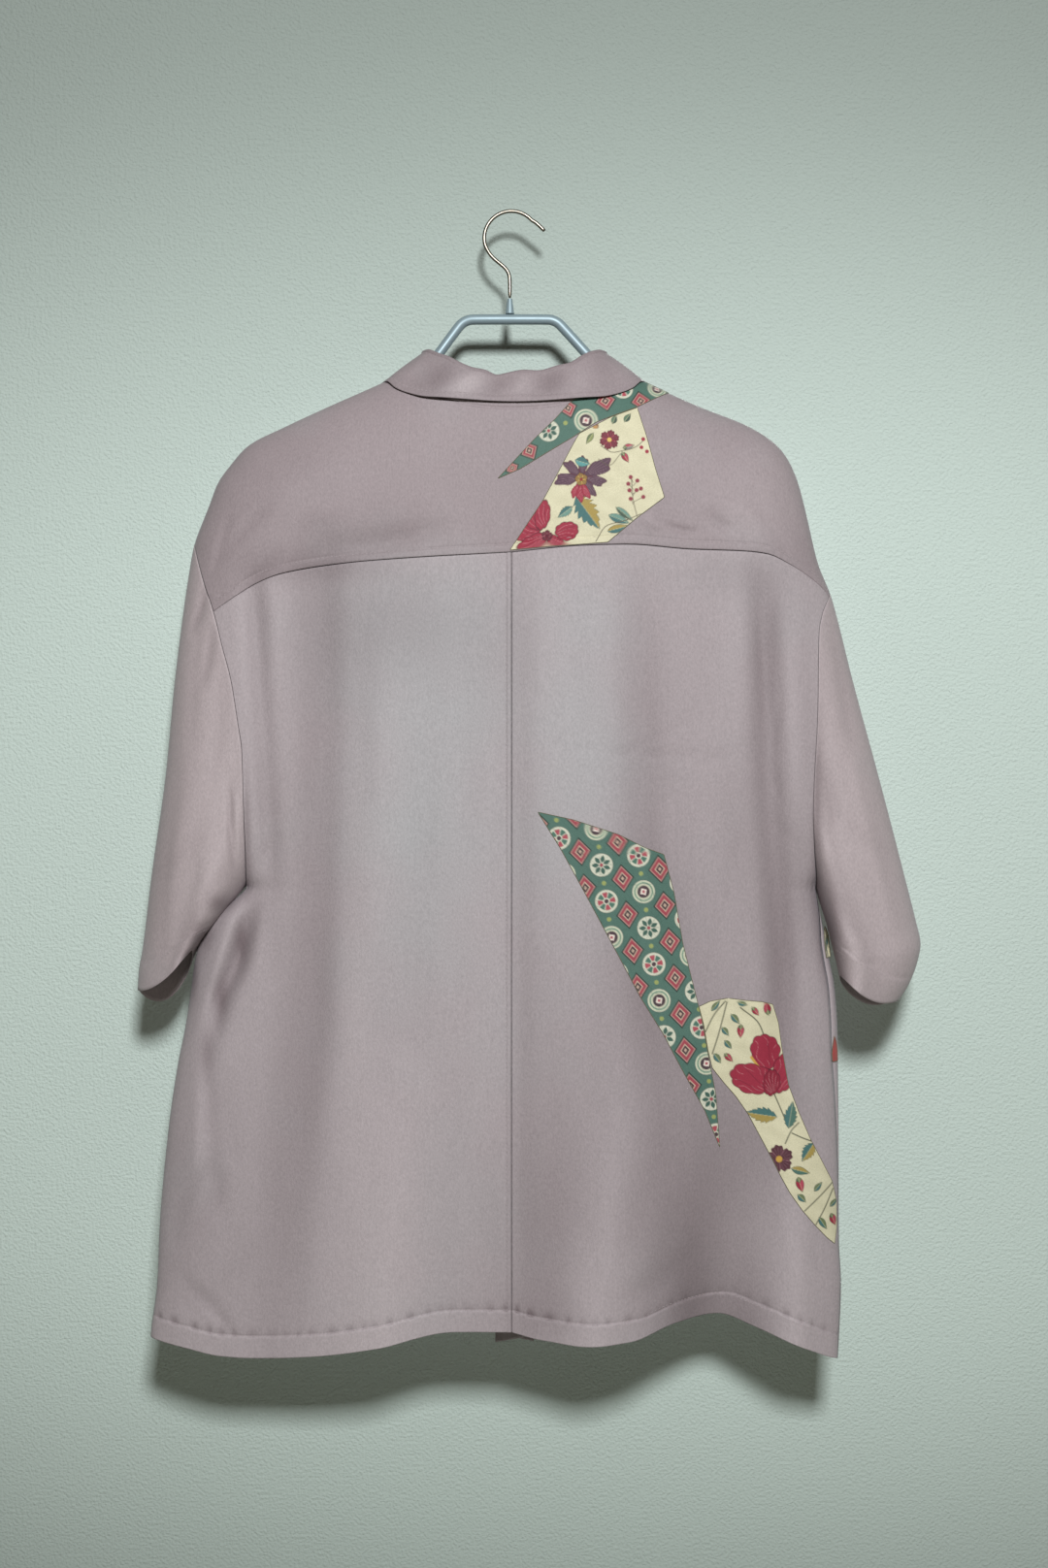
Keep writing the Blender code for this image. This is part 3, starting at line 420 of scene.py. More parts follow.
def arm_hold(q):
    """Share of the depth down the armhole, which closes at the armpit."""
    q = np.clip((q - ARM_HOLD) / (1 - ARM_HOLD), 0, 1)
    return np.sqrt(1 - q * q)


def edge_out(side, z):
    """Armhole above the armpit, side seam below it."""
    return read(side.edge, "z", "out", z)


def folds(valleys, out, z, share):
    """How far the large folds push the cloth inwards."""
    total = np.zeros_like(np.asarray(out, dtype=float))
    for valley in valleys:
        middle = read(valley.stations, "z", "out", z)
        deep = read(valley.stations, "z", "deep", z)
        total += (z < valley.stations[0].z) * deep * np.exp(-((out - middle) / valley.width) ** 2)
    return total * (1 - np.clip(share, 0, 1) ** 7)


def creases(table, x, z):
    """How far the small creases push it inwards: each fades out towards its two ends."""
    total = np.zeros_like(np.asarray(x, dtype=float))
    for crease in table:
        start = np.array([crease.x, crease.z])
        way = np.array([crease.to_x, crease.to_z]) - start
        length = np.hypot(*way)
        along = ((x - start[0]) * way[0] + (z - start[1]) * way[1]) / length ** 2
        across = ((x - start[0]) * way[1] - (z - start[1]) * way[0]) / length
        across = across - crease.bow * np.sin(math.pi * np.clip(along, 0, 1))
        fade = np.sin(math.pi * np.clip(along, 0, 1)) ** 0.7
        total += crease.deep * fade * np.exp(-(across / crease.width) ** 2)
    return total


def waver(x, z, phase):
    """Slack of the hanging silk: long shallow waves that lean and never quite repeat."""
    grow = 0.25 + 0.75 * ease((-260 - z) / 350)
    wave = 0.55 * np.sin(x / 17.0 + z / 410.0 + phase) * np.sin(z / 150.0 + x / 90.0 + phase)
    wave += 0.40 * np.sin(x / 9.3 - z / 230.0 + 2.1 * phase) * np.sin(z / 83.0 - x / 70.0)
    wave += 0.20 * np.sin(x / 5.1 + z / 61.0 + phase) * np.sin(x / 31.0 - z / 37.0)
    return wave * grow


def push(side, face, out, z, share):
    """All that the folds, creases and slack push the cloth inwards."""
    valleys = side.valleys if face == "back" else side.front_valleys
    small = BACK_CREASES if face == "back" else FRONT_CREASES
    deep = folds(valleys, out, z, share)
    keep = 1 - np.clip(share, 0, 1) ** 9
    x = side.sign * out
    return deep + keep * (creases(small, x, z) + waver(x, z, SLACK_PHASE[face]))


def sheet_y(side, face, out, z):
    """Outside of the body at a place of the hanging shirt, on its back or front."""
    out, z = np.broadcast_arrays(np.asarray(out, dtype=float), z)
    share = np.clip((out - side.middle) / (edge_out(side, z) - side.middle), 0, 1)
    top = max(point.z for point in side.edge)
    down = (top - z) / (top - side.armpit)
    hold = arm_hold(down) * (z > side.armpit)
    fading = 1 - ease((down - ARM_FADE[0]) / ARM_FADE[1])
    hold = hold + (fading - hold) * (1 - share ** HOLD_POWER)
    form = np.sqrt(1 - share ** SIDE_POWER)
    high = hold > 0
    form[high] += hold[high] * (rounding(side, out[high], z[high]) - form[high])
    deep = read(DEPTHS, "z", face, z) * form
    deep = deep - push(side, face, out, z, share) * np.minimum(1, form * 1.6)
    return -deep if face == "back" else deep


def neck(out):
    """Height of the back neck seam."""
    return NECK_LOW + NECK_RISE * (1 - np.sqrt(1 - np.clip(out / NECK_HALF, 0, 1) ** 2))


def turned_edge(gap):
    """Drop of a sewn piece's edge into the seam's groove, by the distance from it."""
    return SEAM_RAISE * np.exp(-(gap / 0.8) ** 2)


def stitch_band(gap, width):
    """A seam allowance pressed under the cloth: raised up to its stitching, which sinks in."""
    raised = SEAM_RAISE * (1 - ease((gap - width + 0.6) / 1.6))
    return raised - STITCH_SINK * np.exp(-((gap - width) / 0.8) ** 2)


def puckers(along, gap, width):
    """Pulls of a stitched hem: uneven dents that sink over its stitching and above it."""
    wave = np.sin(along / 1.9 + 1.5 * np.sin(along / 9.0)) * (0.65 + 0.35 * np.sin(along / 23.0))
    past = gap - width
    reach = np.exp(-(past / np.where(past > 0, 4.4, 1.4)) ** 2)
    return -PUCKER_DEEP * (0.12 + ease((wave + 0.15) / 0.9)) * reach


def tone(deep, face="", x=0.0, z=0.0):
    """Painted shade and light on the silk: 1 is painted shade down in a fold, 0 is flat cloth
    and -1 is painted light on a crest; the spots add more of both and some uneven dye.
    """
    shade = FOLD_SHADE * np.tanh(deep / FOLD_SCALE)
    for shade_spot in SHADE_AND_DYE_SPOTS if face == "back" else ():
        far = ((x - shade_spot.x) / shade_spot.wide) ** 2 + ((z - shade_spot.z) / shade_spot.high) ** 2
        shade = shade + shade_spot.dark * np.exp(-far)
    return np.clip(shade, -1, 1)


def cool(face, x, z):
    """Where the dye runs to a cooler grey: a broad band down the back and one by the side."""
    band = np.exp(-((x + 62) / 62) ** 2) * ease((-240 - z) / 90) * (1 - ease((-420 - z) / 300))
    side = 0.7 * np.exp(-((x - 52) / 46) ** 2) * ease((-240 - z) / 90) * ease((z + 620) / 180)
    return np.clip(band + side, 0, 1) * (1.0 if face == "back" else 0.7)


NECK_COLUMNS = (0, .3, .58, .8, .93, .98, .995, 1)
SHOULDER_COLUMNS = (0, .025, .1, .2, .3, .4, .5, .6, .69, .77, .84, .90, .95, .985, 1)
BACK_COLUMNS = len(NECK_COLUMNS) + len(SHOULDER_COLUMNS) - 2


def marks(count, *fine):
    """Even shares from 0 to 1 with closer ones between some pairs: (from, to, number)."""
    return np.unique(np.concatenate([np.linspace(0, 1, count)]
                                    + [np.linspace(*stretch) for stretch in fine]).round(6))


def neck_share(side):
    """Share of the half width at which the neck opening ends."""
    full = max(point.out for point in side.edge if point.z > side.armpit)
    return (NECK_HALF - side.middle) / (full - side.middle)


def column_share(side, u):
    """Where the columns of the yoke and back stand, from the middle to the side."""
    first = neck_share(side)
    inner = [first * share for share in NECK_COLUMNS[:-1]]
    outer = [first + (1 - first) * share for share in SHOULDER_COLUMNS]
    return np.interp(u * BACK_COLUMNS, range(BACK_COLUMNS + 1), inner + outer)


def rows(side, share, top, low, middle_power, v):
    """Heights down a panel; on its side edge the middle row is at the armpit."""
    power = np.log((top - side.armpit) / (top - low)) / math.log(0.5)
    return top + v ** (middle_power + share ** 4 * (power - middle_power)) * (low - top)


def points(side, out, y, z):
    """Places of a side's cloth, from how far out they are."""
    return np.stack([side.sign * out, y + 0 * out, z + 0 * out], axis=-1)


def silk_crepe(name, colour=SILK_COLOUR, twill=0.0):
    """Washed silk crepe: matt with a faint bluish bloom, a fine pebbled twill and slubs, with
    painted shade in its folds and painted light on its crests.
    """
    finish, shader = new_finish(name, Roughness=0.62, Specular_IOR_Level=0.35, Sheen_Weight=0.10,
                                Sheen_Roughness=0.45, Sheen_Tint=(*linear("#c9d0dc"), 1))
    place = add_node(finish, "TexCoord").outputs["Object"]
    depth = add_node(finish, "Attribute", attribute_name="tone").outputs["Fac"]
    chill = add_node(finish, "Attribute", attribute_name="cool").outputs["Fac"]
    cloud = add_node(finish, "TexNoise", {"Vector": place, "Scale": 11.0, "Detail": 3.0})
    spread = add_node(finish, "MapRange", {"Value": cloud.outputs["Fac"], "From Min": 0.3,
                                           "From Max": 0.7, "To Min": -0.25, "To Max": 0.25})
    chilly = add_node(finish, "Math", {0: chill, 1: spread.outputs[0]}, operation="ADD",
                      use_clamp=True)
    base = add_node(finish, "MixRGB", {"Fac": chilly.outputs[0], "Color1": (*linear(colour), 1),
                                       "Color2": (*linear(SILK_COOL), 1)})
    # Painted shade darkens the colour down in folds and creases; painted light pales it on crests.
    down = add_node(finish, "MapRange", {"Value": depth, "From Min": 0.0, "From Max": 1.0})
    dark = add_node(finish, "MixRGB", {"Fac": down.outputs[0], "Color1": base.outputs[0],
                                       "Color2": (*linear(SILK_PAINTED_SHADE), 1)})
    up = add_node(finish, "MapRange", {"Value": depth, "From Min": 0.0, "From Max": -1.0})
    light = add_node(finish, "MixRGB", {"Fac": up.outputs[0], "Color1": dark.outputs[0],
                                        "Color2": (*linear(SILK_PAINTED_LIGHT), 1)})
    slant = add_node(finish, "Mapping", {"Vector": place, "Rotation": (0, twill, 0),
                                         "Scale": (760, 760, 420)})
    grain = add_node(finish, "TexNoise", {"Vector": slant.outputs[0], "Scale": 1.0,
                                          "Detail": 3.0, "Roughness": 0.7})
    slub_place = add_node(finish, "Mapping", {"Vector": place, "Scale": (500, 500, 45)})
    slub = add_node(finish, "TexNoise", {"Vector": slub_place.outputs[0], "Scale": 1.0})
    both = add_node(finish, "Math", {0: slub.outputs["Fac"], 1: 0.15, 2: grain.outputs["Fac"]},
                    operation="MULTIPLY_ADD")
    streak = add_node(finish, "MapRange", {"Value": both.outputs[0], "From Min": 0.325,
                                           "From Max": 0.825, "To Min": 0.85, "To Max": 1.15})
    final = add_node(finish, "VectorMath", {0: light.outputs[0], "Scale": streak.outputs[0]},
                     operation="SCALE")
    bump = add_node(finish, "Bump", {"Height": grain.outputs["Fac"], "Strength": 0.5,
                                     "Distance": 0.0005})
    finish.node_tree.links.new(final.outputs[0], shader.inputs["Base Color"])
    finish.node_tree.links.new(bump.outputs[0], shader.inputs["Normal"])
    return finish


def add_cloth(name, u, v, place, finish, outward, node, probe=(0.5, 0.5), weld=0.0):
    """Cloth: a grid placed by a function of (u, v), given its thickness on the inside.

    The function gives points, painted light and shade, and coolness.  The face at probe
    looks outward, and so do the others."""
    across, along = (values.ravel() for values in np.meshgrid(u, v))
    spots, shade, chill = place(across, along)
    wide = len(u)
    first = (np.arange(len(v) - 1)[:, None] * wide + np.arange(wide - 1)).ravel()
    faces = np.stack([first, first + 1, first + wide + 1, first + wide], axis=1)
    middle = faces[int(probe[1] * (len(v) - 1)) * (wide - 1) + int(probe[0] * (wide - 1))]
    corners = spots[middle]
    facing = np.cross(corners[2] - corners[0], corners[3] - corners[1])
    if facing @ np.array(outward) < 0:
        faces = faces[:, ::-1]
    mesh = bpy.data.meshes.new("silk_" + name)
    mesh.from_pydata((spots * MM).tolist(), [], faces.tolist())
    for label, values in (("tone", shade), ("cool", chill)):
        layer = mesh.attributes.new(label, "FLOAT", "POINT")
        layer.data.foreach_set("value", np.broadcast_to(values, len(spots)).astype(np.float32))
    if weld:
        shell = bmesh.new()
        shell.from_mesh(mesh)
        bmesh.ops.remove_doubles(shell, verts=shell.verts, dist=weld * MM)
        shell.to_mesh(mesh)
        shell.free()
    mesh.shade_smooth()
    mesh.materials.append(finish)
    piece = bpy.data.objects.new("silk_" + name, mesh)
    bpy.context.scene.collection.objects.link(piece)
    wall = piece.modifiers.new("thickness", "SOLIDIFY")
    wall.thickness = SILK * MM
    wall.offset = -1
    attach(piece, "root")
    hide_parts(node)
    return piece


THREAD_SIDES = 4


def add_thread(name, lines, radius, finish):
    """Thread or cord that lies along some lines, as one piece with narrowed ends."""
    sides = THREAD_SIDES
    spots, faces, count = [], [], 0
    for line in lines:
        line = np.asarray(line, dtype=float)
        along = np.gradient(line, axis=0)
        along /= np.linalg.norm(along, axis=1, keepdims=True) + 1e-9
        across = np.cross(along, (0.13, 1.0, 0.07))
        across /= np.linalg.norm(across, axis=1, keepdims=True) + 1e-9
        over = np.cross(along, across)
        size = np.full((len(line), 1), float(radius))
        size[[0, -1]] *= 0.4
        turns = np.arange(sides) * math.tau / sides
        rings = np.stack([line + size * (math.cos(turn) * across + math.sin(turn) * over)
                          for turn in turns], axis=1)
        spots.append(rings.reshape(-1, 3))
        for step in range(len(line) - 1):
            first = count + step * sides
            for k in range(sides):
                other = (k + 1) % sides
                faces.append((first + k, first + other, first + sides + other, first + sides + k))
        last = count + (len(line) - 1) * sides
        faces.append(tuple(range(count + sides - 1, count - 1, -1)))
        faces.append(tuple(range(last, last + sides)))
        count += len(line) * sides
    mesh = bpy.data.meshes.new(name)
    mesh.from_pydata((np.concatenate(spots) * MM).tolist(), [], faces)
    mesh.shade_smooth()
    mesh.materials.append(finish)
    piece = bpy.data.objects.new(name, mesh)
    bpy.context.scene.collection.objects.link(piece)
    return piece


def thread_finish(name, colour):
    """Twisted thread: a soft shine broken by its twist."""
    finish, shader = new_finish(name, Base_Color=(*linear(colour), 1), Roughness=0.55,
                                Sheen_Weight=0.2)
    place = add_node(finish, "TexCoord").outputs["Object"]
    twist = add_node(finish, "TexNoise", {"Vector": place, "Scale": 2500.0, "Detail": 1.0})
    shade = add_node(finish, "MixRGB", {"Fac": twist.outputs["Fac"],
                                        "Color1": (*linear(colour), 1),
                                        "Color2": (*[value * 0.7 for value in linear(colour)], 1)})
    finish.node_tree.links.new(shade.outputs[0], shader.inputs["Base Color"])
    return finish


silk_thread = thread_finish("silk sewing thread", "#b7abad")
THREAD_RADIUS = 0.26
STITCH_LONG, STITCH_PITCH = 2.4, 3.4


def in_from(place, edge, gap, along, reach):
    """Line that keeps its distance from one edge of a placed sheet, looked for within reach."""
    steps = np.linspace(0, reach, 161)
    run, step = np.meshgrid(along, steps)
    u, v = {"top": (run, step), "low": (run, 1 - step),
            "first": (step, run), "last": (1 - step, run)}[edge]
    spots = np.asarray(place(u.ravel(), v.ravel())[0]).reshape(*u.shape, 3)
    far = np.cumsum(np.linalg.norm(np.diff(spots, axis=0), axis=2), axis=0)
    far = np.concatenate([np.zeros((1, len(along))), far])
    return np.stack([[np.interp(gap, far[:, k], spots[:, k, axis]) for axis in range(3)]
                     for k in range(len(along))])


def stitch(name, lines):
    """Machine stitches along some lines."""
    threads = []
    for line in lines:
        run = np.concatenate([[0], np.cumsum(np.linalg.norm(np.diff(line, axis=0), axis=1))])
        for start in np.arange(0.8, run[-1] - STITCH_LONG, STITCH_PITCH):
            at = start + STITCH_LONG * np.array([0, 0.5, 1])
            threads.append(np.stack([np.interp(at, run, line[:, axis]) for axis in range(3)],
                                    axis=1))
    piece = add_thread("stitches_" + name, threads, THREAD_RADIUS, silk_thread)
    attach(piece, "root")


def back_face(side, out, z):
    """Outside of a back half with its seams and hem, and how much painted shade its folds,
    hem band and puckers get.
    """
    share = np.clip((out - side.middle) / (edge_out(side, z) - side.middle), 0, 1)
    under_seam = read(side.seam, "share", "z", share) - SEAM_GAP - z
    over_hem = z - read(side.hem, "share", "z", share)
    from_middle = out - side.middle
    y = sheet_y(side, "back", out, z) + turned_edge(under_seam) + turned_edge(from_middle)
    y = y - (side.sign < 0) * stitch_band(from_middle, MIDDLE_STITCH)
    pulls = puckers(side.sign * out, over_hem, HEM_DEEP)
    y = y - stitch_band(over_hem, HEM_DEEP) - pulls
    # The hem band is painted a little lighter, and the dents of its puckers get painted shade.
    deep = push(side, "back", out, z, share) - 1.5 * (over_hem < HEM_DEEP)
    deep = deep - 9.0 * pulls
    return y, deep


def back_half(side, name):
    """Half of the back, from the yoke seam to the hem and from the middle to the side."""
    def place(u, v):
        share = column_share(side, u)
        top = read(side.seam, "share", "z", share) - SEAM_GAP
        z = rows(side, share, top, read(side.hem, "share", "z", share), 1.0, v)
        vent = VENT_TURN * ease((VENT_TOP - z) / 20)
        turn = read(side.turn, "z", "angle", z) + (z < side.armpit + 2) * (SIDE_TURN + vent)
        share = np.sin(np.arcsin(share) * (1 - turn * 2 / math.pi))
        start = side.middle + SEAM_GAP / 2 * (1 - share)
        out = start + share * (edge_out(side, z) - start)
        y, deep = back_face(side, out, z)
        x = side.sign * out
        return points(side, out, y, z), tone(deep, "back", x, z), cool("back", x, z)

    piece = add_cloth(name, marks(BACK_COLUMNS * 6 + 1, (0, 0.03, 14)),
                      marks(150, (0, 0.008, 8), (0.955, 1, 38)), place,
                      silk_crepe("silk crepe, " + name.replace("_", " ")), (0, -1, 0), name)
    rows_sewn = [in_from(place, "low", HEM_DEEP, np.linspace(0.004, 0.985, 140), 0.06)]
    if side.sign < 0:
        down = np.linspace(0.002, 0.998, 200)
        rows_sewn.append(in_from(place, "first", MIDDLE_STITCH, down, 0.1))
    else:
        down = np.linspace(0.925, 0.998, 40)
        rows_sewn.append(in_from(place, "last", VENT_STITCH, down, 0.1))
    stitch(name, rows_sewn)


back_half(LEFT, "back_left")
back_half(RIGHT, "back_right")


# The yoke: one piece of the same silk over both shoulders, from the seam across the back to
# the shoulder seam just in front of the ridge.  Its turned lower edge lies on the back
# halves and is stitched down 6 mm above the seam.
OVER_RIDGE = 3.5          # drop of its front edge below the ridge
YOKE_PROUD = 0.6          # how far its lower edge stands out over the back
YOKE_BAND = 6.0
YOKE_RIDGE = 0.8          # share of its rows that lie behind the ridge
# Darker than the back's silk, as painted shade: it holds down the extra light that the upturned yoke
# takes from the lamp.
YOKE_COLOUR = "#988c8f"
SETTLE_ROUNDS, SETTLE_SHARE = 80, 0.3    # of the search for a height on the shoulder
FRONT_EDGE = rows_of(Point, (80, -121), (66, -150), (48, -196), (30, -245), (9, -296),
                     (-13, -330), (-15, -352), (-15, -900))


def front_edge(z):
    """Free edge of a front, from the neck point down."""
    return read(FRONT_EDGE, "z", "out", z)


def shoulder_place(side, share, inner, drop):
    """Where a column meets the line that lies a short way inside the ridge."""
    z = np.full_like(share, -200.0)
    for _ in range(SETTLE_ROUNDS):
        start = inner(z)
        out = start + share * (edge_out(side, z) - start)
        slope = (ridge(side, out + 1) - ridge(side, out - 1)) / 2
        z = z + SETTLE_SHARE * (ridge(side, out) - drop * np.sqrt(1 + slope ** 2) - z)
    return out, z


def over_ridge(share):
    """Drop of the shoulder seam below the ridge, from the neck point to the armhole."""
    return OVER_RIDGE * (0.1 + 0.9 * ease(share / 0.1))


def yoke_face(side, out, z):
    """Outside of the yoke's back, and how deep its folds lie."""
    share = np.clip((out - side.middle) / (edge_out(side, z) - side.middle), 0, 1)
    over_seam = z - read(side.seam, "share", "z", share)
    proud = YOKE_PROUD * (1 - ease(over_seam / 60)) * (1 - ease((share - 0.75) / 0.15))
    y = sheet_y(side, "back", out, z) - proud - stitch_band(over_seam, YOKE_BAND)
    y = y - 0.3 * puckers(side.sign * out, over_seam, YOKE_BAND) + 0.4 * turned_edge(over_seam)
    under_neck = neck(np.minimum(out, NECK_HALF)) - z
    y = y + 0.7 * np.exp(-((under_neck - 4.5) / 1.2) ** 2) * (out < NECK_HALF - 6)
    return y, push(side, "back", out, z, share)


def yoke():
    """Both halves as one sheet; its columns run out from the neck's middle to the armholes."""
    def half(side, u, v):
        share = column_share(side, u)
        past_neck = np.clip((share - neck_share(side)) / (1 - neck_share(side)), 0, 1)
        over = share > neck_share(side) - 1e-6
        top_out, top_z = shoulder_place(side, share, lambda z: side.middle + 0 * z, 0.0)
        front_out, front_z = shoulder_place(side, past_neck, front_edge, over_ridge(past_neck))
        top_z = np.where(over, top_z, neck(np.minimum(top_out, NECK_HALF)))
        low = read(side.seam, "share", "z", share)
        rise = np.sin(np.clip(v / np.where(over, YOKE_RIDGE, 1), 0, 1) * math.pi / 2)
        front = np.where(over, np.clip((v - YOKE_RIDGE) / (1 - YOKE_RIDGE), 0, 1), 0)
        z = low + (top_z - low) * rise
        out = side.middle + share * (edge_out(side, z) - side.middle)
        out = out + (front_out - out) * front
        z = z + (front_z - z) * front ** 2
        y, deep = yoke_face(side, out, z)
        y = np.where(front > 0, sheet_y(side, "front", out, z), y)
        x = side.sign * out
        return points(side, out, y, z), tone(deep, "back", x, z), cool("back", x, z)

    def place(u, v):
        u = (u - 0.5) * 2
        left = u < 0
        pairs = zip(half(LEFT, abs(u), v), half(RIGHT, abs(u), v))
        return [np.where(left[:, None] if one.ndim == 2 else left, one, other)
                for one, other in pairs]

    across = marks(BACK_COLUMNS * 3 + 1)
    u = np.unique(np.concatenate([0.5 - across / 2, 0.5 + across / 2]).round(6))
    v = marks(61, (0, 0.12, 30), (0.74, 0.84, 20))
    silk = silk_crepe("silk crepe, yoke", YOKE_COLOUR)
    piece = add_cloth("yoke", u, v, place, silk, (0, -1, 0), "back_yoke", (0.5, 0.4))
    stitch("yoke", [in_from(place, "top", YOKE_BAND, np.linspace(0.01, 0.99, 300), 0.2)])


yoke()


# The fronts: each runs from the shoulder seam to the hem and round to the side seam.  The
# left one laps over the right by 30 mm; its edge is stitched 5 mm in.
OVERLAP_STEP = 0.9        # half the step between the two where they cross
STEP_FADE = (22.0, 42.0)  # it fades out between these distances from the middle
EDGE_STITCH = 5.0


def front_y(side, out, z):
    """Outside of a front: the left one lies over the right one where they cross."""
    near, far = STEP_FADE
    step = -side.sign * OVERLAP_STEP * ease((far - out) / (far - near))
    return sheet_y(side, "front", out, z) + step


def front(side, name):
    """One front, from its free edge out to the side and round to the side seam."""
    cells = len(SHOULDER_COLUMNS) - 1

    def place(u, v):
        share = np.interp(u * cells, range(cells + 1), SHOULDER_COLUMNS)
        _, top = shoulder_place(side, share, front_edge, over_ridge(share) + 2 * SEAM_GAP)
        low = read(side.front_hem, "share", "z", share)
        z = rows(side, share, top, low, 1.25, v)
        inner = front_edge(z)
        vent = VENT_TURN * ease((VENT_TOP - z) / 20)
        full = edge_out(side, z)
        meet = side.middle + np.cos(read(side.turn, "z", "angle", z)) * (full - side.middle)
        last = math.pi - np.arcsin(np.clip((meet - inner) / (full - inner), 0, 1))
        last = last - (z < side.armpit + 2) * (SIDE_TURN + vent)
        turn = np.arcsin(share) * last * 2 / math.pi
        out = inner + np.sin(turn) * (full - inner)
        behind = turn > math.pi / 2 + 1e-6
        outside = front_y(side, out, z) + 0.7 * stitch_band(out - inner, EDGE_STITCH)
        outside = outside + stitch_band(z - low, HEM_DEEP) + puckers(out, z - low, HEM_DEEP)
        y = np.where(behind, sheet_y(side, "back", out, z), outside)
        share = np.clip((out - side.middle) / (full - side.middle), 0, 1)
        deep = push(side, "front", out, z, share)
        deep = np.where(behind, push(side, "back", out, z, share), deep)
        return points(side, out, y, z), tone(deep), cool("front", side.sign * out, z)

    piece = add_cloth(name, marks(cells * 5 + 1, (0, 0.12, 16)), marks(150, (0.955, 1, 34)),
                      place, silk_crepe("silk crepe, " + name.replace("_", " ")), (0, 1, 0), name)
    stitch(name, [in_from(place, "low", HEM_DEEP, np.linspace(0.004, 0.985, 140), 0.06),
                  in_from(place, "first", EDGE_STITCH, np.linspace(0.31, 0.975, 200), 0.1)])


front(LEFT, "front_left")
front(RIGHT, "front_right")


# The lapels: the silk facing that shows where the fronts turn back at the open neck.  It is
# one with the front's edge, rolls softly and is stitched 5 mm in from its own rim.
LAPEL_ROLL = rows_of(Point, (3, -304), (9, -296), (30, -245), (48, -196), (64.2, -151.6))
LAPEL_RIM = rows_of(Point, (6, -308), (22, -288), (52, -256), (76, -232), (91, -215))
LAPEL_LIFT = 2.0          # its outside over the front's outside
LAPEL_TUCK = 1.0          # how far it starts past the line that it rolls on
LAPEL_BELLY = 0.8


def lapel(side, name):
    """From the line that it rolls on to its rim."""
    def place(u, v):
        roll_out, roll_z = run_along(LAPEL_ROLL, v)
        rim_out, rim_z = run_along(LAPEL_RIM, v)
        out = roll_out - LAPEL_TUCK + u * (rim_out - roll_out)
        z = roll_z + u * (rim_z - roll_z)
        from_edge = (1 - u) * np.hypot(rim_out - roll_out, rim_z - roll_z)
        lift = LAPEL_LIFT + LAPEL_BELLY * np.sin(math.pi * u)
        lift = lift + 0.7 * stitch_band(from_edge, EDGE_STITCH) + 0.25 * np.sin(v * 19 + u * 4)
        y = front_y(side, np.maximum(out, roll_out), z) + lift
        # Painted shade along the line it rolls on, fading to painted light at its rim.
        return points(side, out, y, z), tone(1.5 - 3 * u), 0 * u

    piece = add_cloth(name, marks(34), marks(60), place,
                      silk_crepe("silk crepe, " + name.replace("_", " ")), (0, 1, 0), name)
    stitch(name, [in_from(place, "last", EDGE_STITCH, np.linspace(0.12, 0.97, 90), 0.5)])


lapel(LEFT, "lapel_left")
lapel(RIGHT, "lapel_right")


# The collar: one leaf, sewn round the neck, that stands up, rolls over and falls on the yoke
# to a free edge stitched 5 mm in.  The hanger's shoulders push its roll up at the sides.
Collar = namedtuple("Collar", "t seam_x seam_y seam_z fold_x fold_y fold_z rim_x rim_y rim_z")
COLLAR = rows_of(
    Collar, (0, 0, -32.7, -160.0, 0, -29.5, -130.0, 0, -37.2, -152.6),
    (.25, 48, -28.2, -151.9, 40, -26.5, -121.5, 52, -35.4, -149.2),
    (.36, 60.5, -24.5, -146.0, 52, -21.5, -114.5, 68, -31.6, -147.6),
    (.45, 70, -19.4, -138.0, 61, -15.5, -110.0, 82, -25.6, -143.5),
    (.52, 74.6, -14.2, -130.6, 66.5, -9.0, -107.6, 91, -21.0, -139.0),
    (.58, 76.6, -3.0, -118.8, 70, -1.0, -107.3, 98, -12.0, -132.5),
    (.66, 76.6, 7.4, -120.8, 70, 7.5, -109.5, 104, 6.0, -131.5),
    (.76, 73.6, 12.7, -129.5, 66.5, 15.5, -116.0, 107, 17.0, -143.5),
    (1, 63.6, 20.1, -151.6, 63.5, 24.5, -147.0, 96, 33.0, -205.0))
FOLD_HALF = 2.3           # half the width of its roll
ROLL_SPAN = (0.35, 0.6)   # rows of the leaf between which it rolls over
FALL_BELLY = 1.5          # how far the falling part bows out
COLLAR_COLOUR = "#978b8e"


